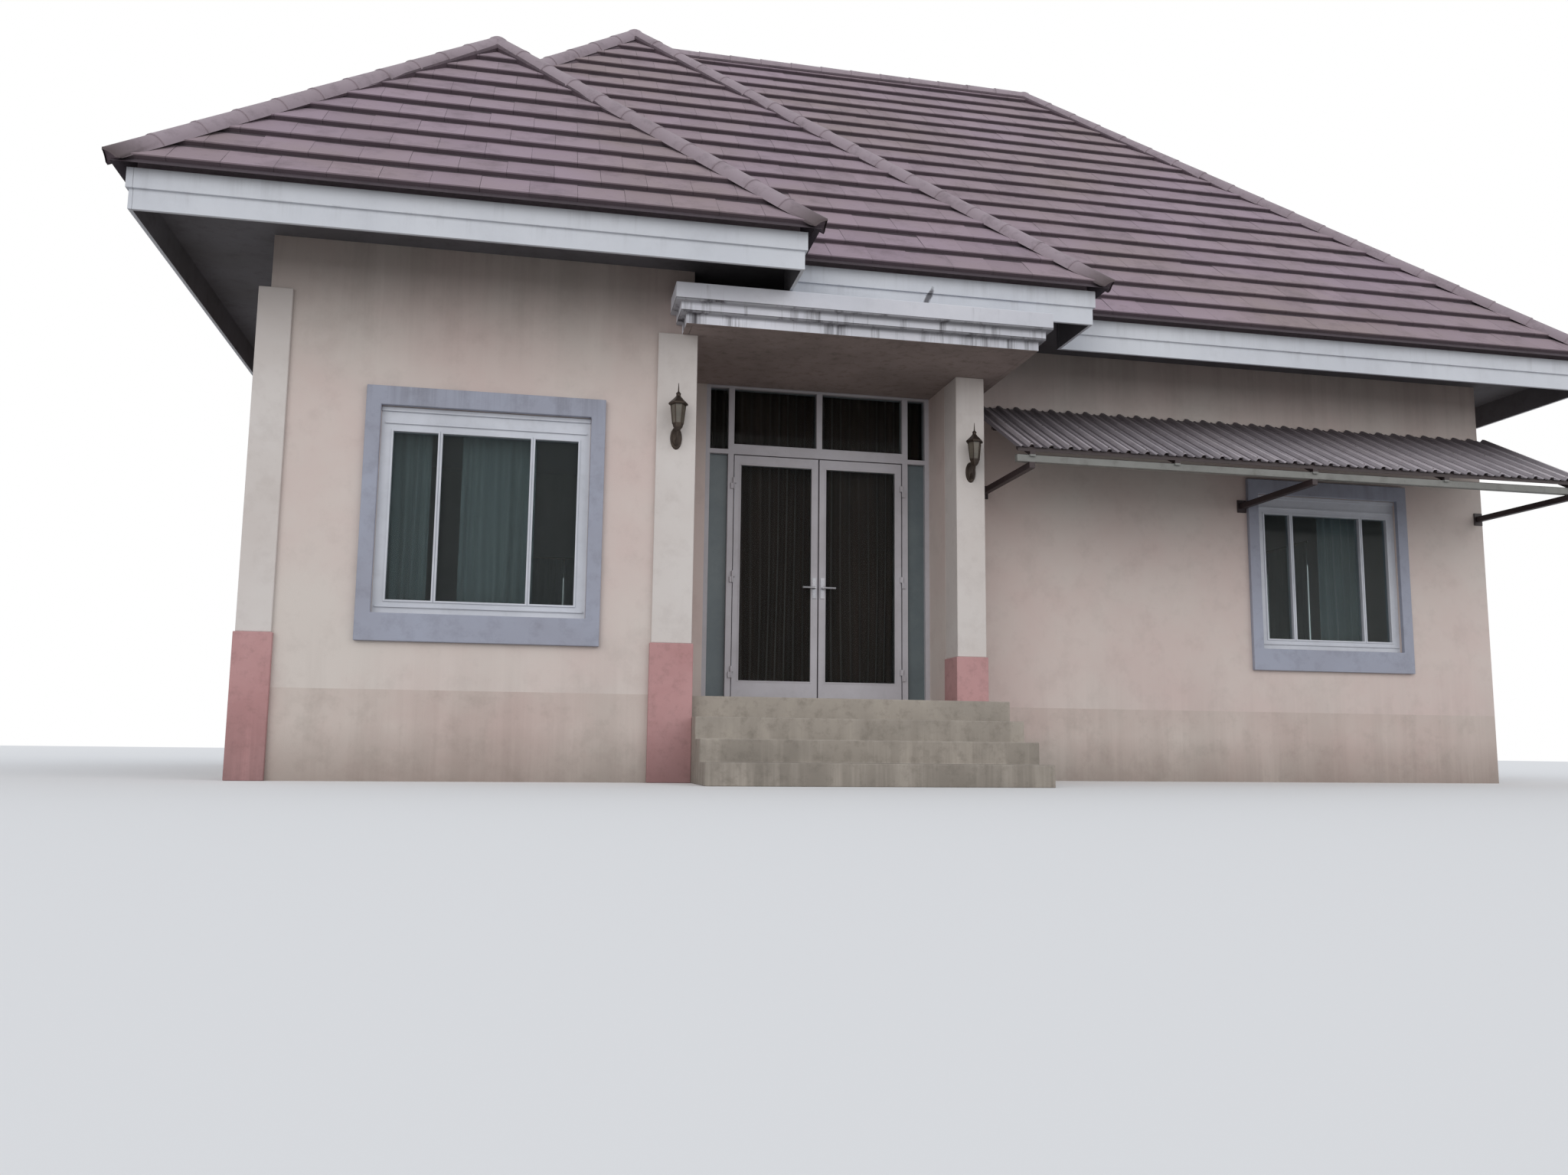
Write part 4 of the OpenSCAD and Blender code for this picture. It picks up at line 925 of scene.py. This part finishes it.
end_with(ribbing, end, tilted, sheet_metal)
count = round(sheet_size.x / rib_pitch)
pitch_here = sheet_size.x / count
foot = sheet_low + Vector((0, 0, 0.0015))
awning = grown("ribbed_awning", loose("rib_seed", [(0, 0, 0)], []), ribbing,
               {"Rib": rib_shape, "Pitch": pitch_here, "Stretch": (pitch_here / rib_pitch, 1, 1),
                "Count": count, "Tilt": (fall, 0, 0), "Place": foot}, "awning_sheet")
bpy.data.objects.remove(rib_shape)
thick = awning.modifiers.new("sheet_thickness", "SOLIDIFY")
thick.thickness, thick.offset = 0.0012, 0

# The steel under the sheets: the tube's faces are cut out of the frame's and painted pale
red_steel = painted(
    "red_steel", (52, 40, 42), (44, 34, 36), (28, 24, 25), 3.0, 150.0, 0.4, 0.2, roughness=0.55)
tube_grey = painted(
    "tube_grey", (122, 123, 120), (106, 107, 104), (70, 66, 62), 1.2, 140.0, 0.5, 0.15, roughness=0.5)
bars = eased("awning_bars", "awning_frame", 0.003, red_steel).data
bars.materials.append(tube_grey)
bars_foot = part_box("awning_frame")[0].z
tube_low, tube_high, tube_back = bars_foot + 0.05, bars_foot + 0.11, sheet_low.y + 0.082
shape = bmesh.new()
shape.from_mesh(bars)
for level in (tube_low, tube_high):
    bmesh.ops.bisect_plane(shape, geom=shape.verts[:] + shape.edges[:] + shape.faces[:],
                           plane_co=(0, 0, level), plane_no=(0, 0, 1))
for face in shape.faces:
    middle = face.calc_center_median()
    if tube_low - 0.001 < middle.z < tube_high + 0.001 and middle.y < tube_back:
        face.material_index = 1
shape.to_mesh(bars)
shape.free()

# Screws through every second rib into the purlins, with domed washers, and the arms' wall plates
screw_metal = painted(
    "screw_metal", (128, 124, 124), (112, 104, 100), (78, 58, 48), 30.0, 200.0, 0.5, 0.1,
    roughness=0.4, metal=0.7)
on_sheet = Matrix.Translation(foot) @ Matrix.Rotation(fall, 4, "X")
shape = bmesh.new()
for i in range(0, count, 2):
    for along in (0.035, length / 2, length - 0.06):
        top = on_sheet @ Matrix.Translation((pitch_here * (i + crest / rib_pitch), along, rib_h))
        for wide, tall, sides in ((0.009, 0.0015, 12), (0.005, 0.006, 6)):
            bmesh.ops.create_cone(shape, segments=sides, radius1=wide, radius2=wide * 0.85,
                                  depth=tall, cap_ends=True,
                                  matrix=top @ Matrix.Translation((0, 0, tall / 2)))
finish("awning_screws", shape, [screw_metal])
plate, arm_inset = Vector((0.045, 0.005, 0.06)), 0.15
plates = [Vector((sheet_low.x + arm_inset + (sheet_size.x - 2 * arm_inset) * i / 2,
                  sheet_high.y - 0.006, bars_foot + 0.025)) for i in range(3)]
blocks("awning_plates", [(middle - plate, middle + plate) for middle in plates], red_steel)

# Studio: a pale floor and soft, even light from all round, a little stronger from the front left.
# The floor and the sky are white only where they are seen, and light the house at a plain level.


def seen(tree, kind, lit, shown):
    """A surface that the camera sees itself, in a gloss or through glass, and another for its light."""
    tree.nodes.clear()
    path = put(tree, "ShaderNodeLightPath").outputs
    direct = calc(tree, "MAXIMUM", path["Is Camera Ray"], path["Is Glossy Ray"])
    return first(tree, "ShaderNodeMixShader",
                 {0: calc(tree, "MAXIMUM", direct, path["Is Transmission Ray"]),
                  1: first(tree, kind, lit), 2: first(tree, kind, shown)})


floor_paint, tree, shader = new_material("studio_floor")
both = seen(tree, "ShaderNodeBsdfDiffuse", {"Color": (0.45, 0.43, 0.41, 1)},
            {"Color": (0.8, 0.8, 0.8, 1)})
put(tree, "ShaderNodeOutputMaterial", {0: both})
plane = loose("studio_floor", [(-60, -60, 0), (60, -60, 0), (60, 60, 0), (-60, 60, 0)],
              [(0, 1, 2, 3)])
plane.data.materials.append(floor_paint)

world = bpy.data.worlds.new("studio")
bpy.context.scene.world = world
world.use_nodes = True
both = seen(world.node_tree, "ShaderNodeBackground", {"Color": (0.90, 0.94, 1.0, 1), "Strength": 0.8},
            {"Color": (1, 1, 1, 1)})
put(world.node_tree, "ShaderNodeOutputWorld", {0: both})
for name, turn, power in (("window_light", (70, 0, -32), 0.86), ("side_light", (72, 0, 46), 0.56)):
    lamp = bpy.data.lights.new(name, "SUN")
    lamp.energy, lamp.angle = power, math.radians(50)
    lamp.color = (1.0, 0.95, 0.9)
    placed(name, lamp).rotation_euler = [math.radians(a) for a in turn]

# The camera stands where the photograph was taken from
lens = bpy.data.cameras.new("camera")
lens.lens, lens.sensor_width, lens.sensor_fit = 28.125, 36, "HORIZONTAL"
lens.clip_end = 200
camera = placed("camera", lens)
yaw, rise, roll = (math.radians(a) for a in (11.535, 7.517, 0.616))
ahead = Vector((math.sin(yaw) * math.cos(rise), math.cos(yaw) * math.cos(rise), math.sin(rise)))
level = Vector((math.cos(yaw), -math.sin(yaw), 0))
above = level.cross(ahead)
right = math.cos(roll) * level + math.sin(roll) * above
above = -math.sin(roll) * level + math.cos(roll) * above
camera.matrix_world = Matrix.Translation((-3.489, -12.829, 0.253)) @ Matrix(
    (right, above, -ahead)).transposed().to_4x4()
bpy.context.scene.camera = camera
bpy.context.scene.view_settings.view_transform = "Standard"
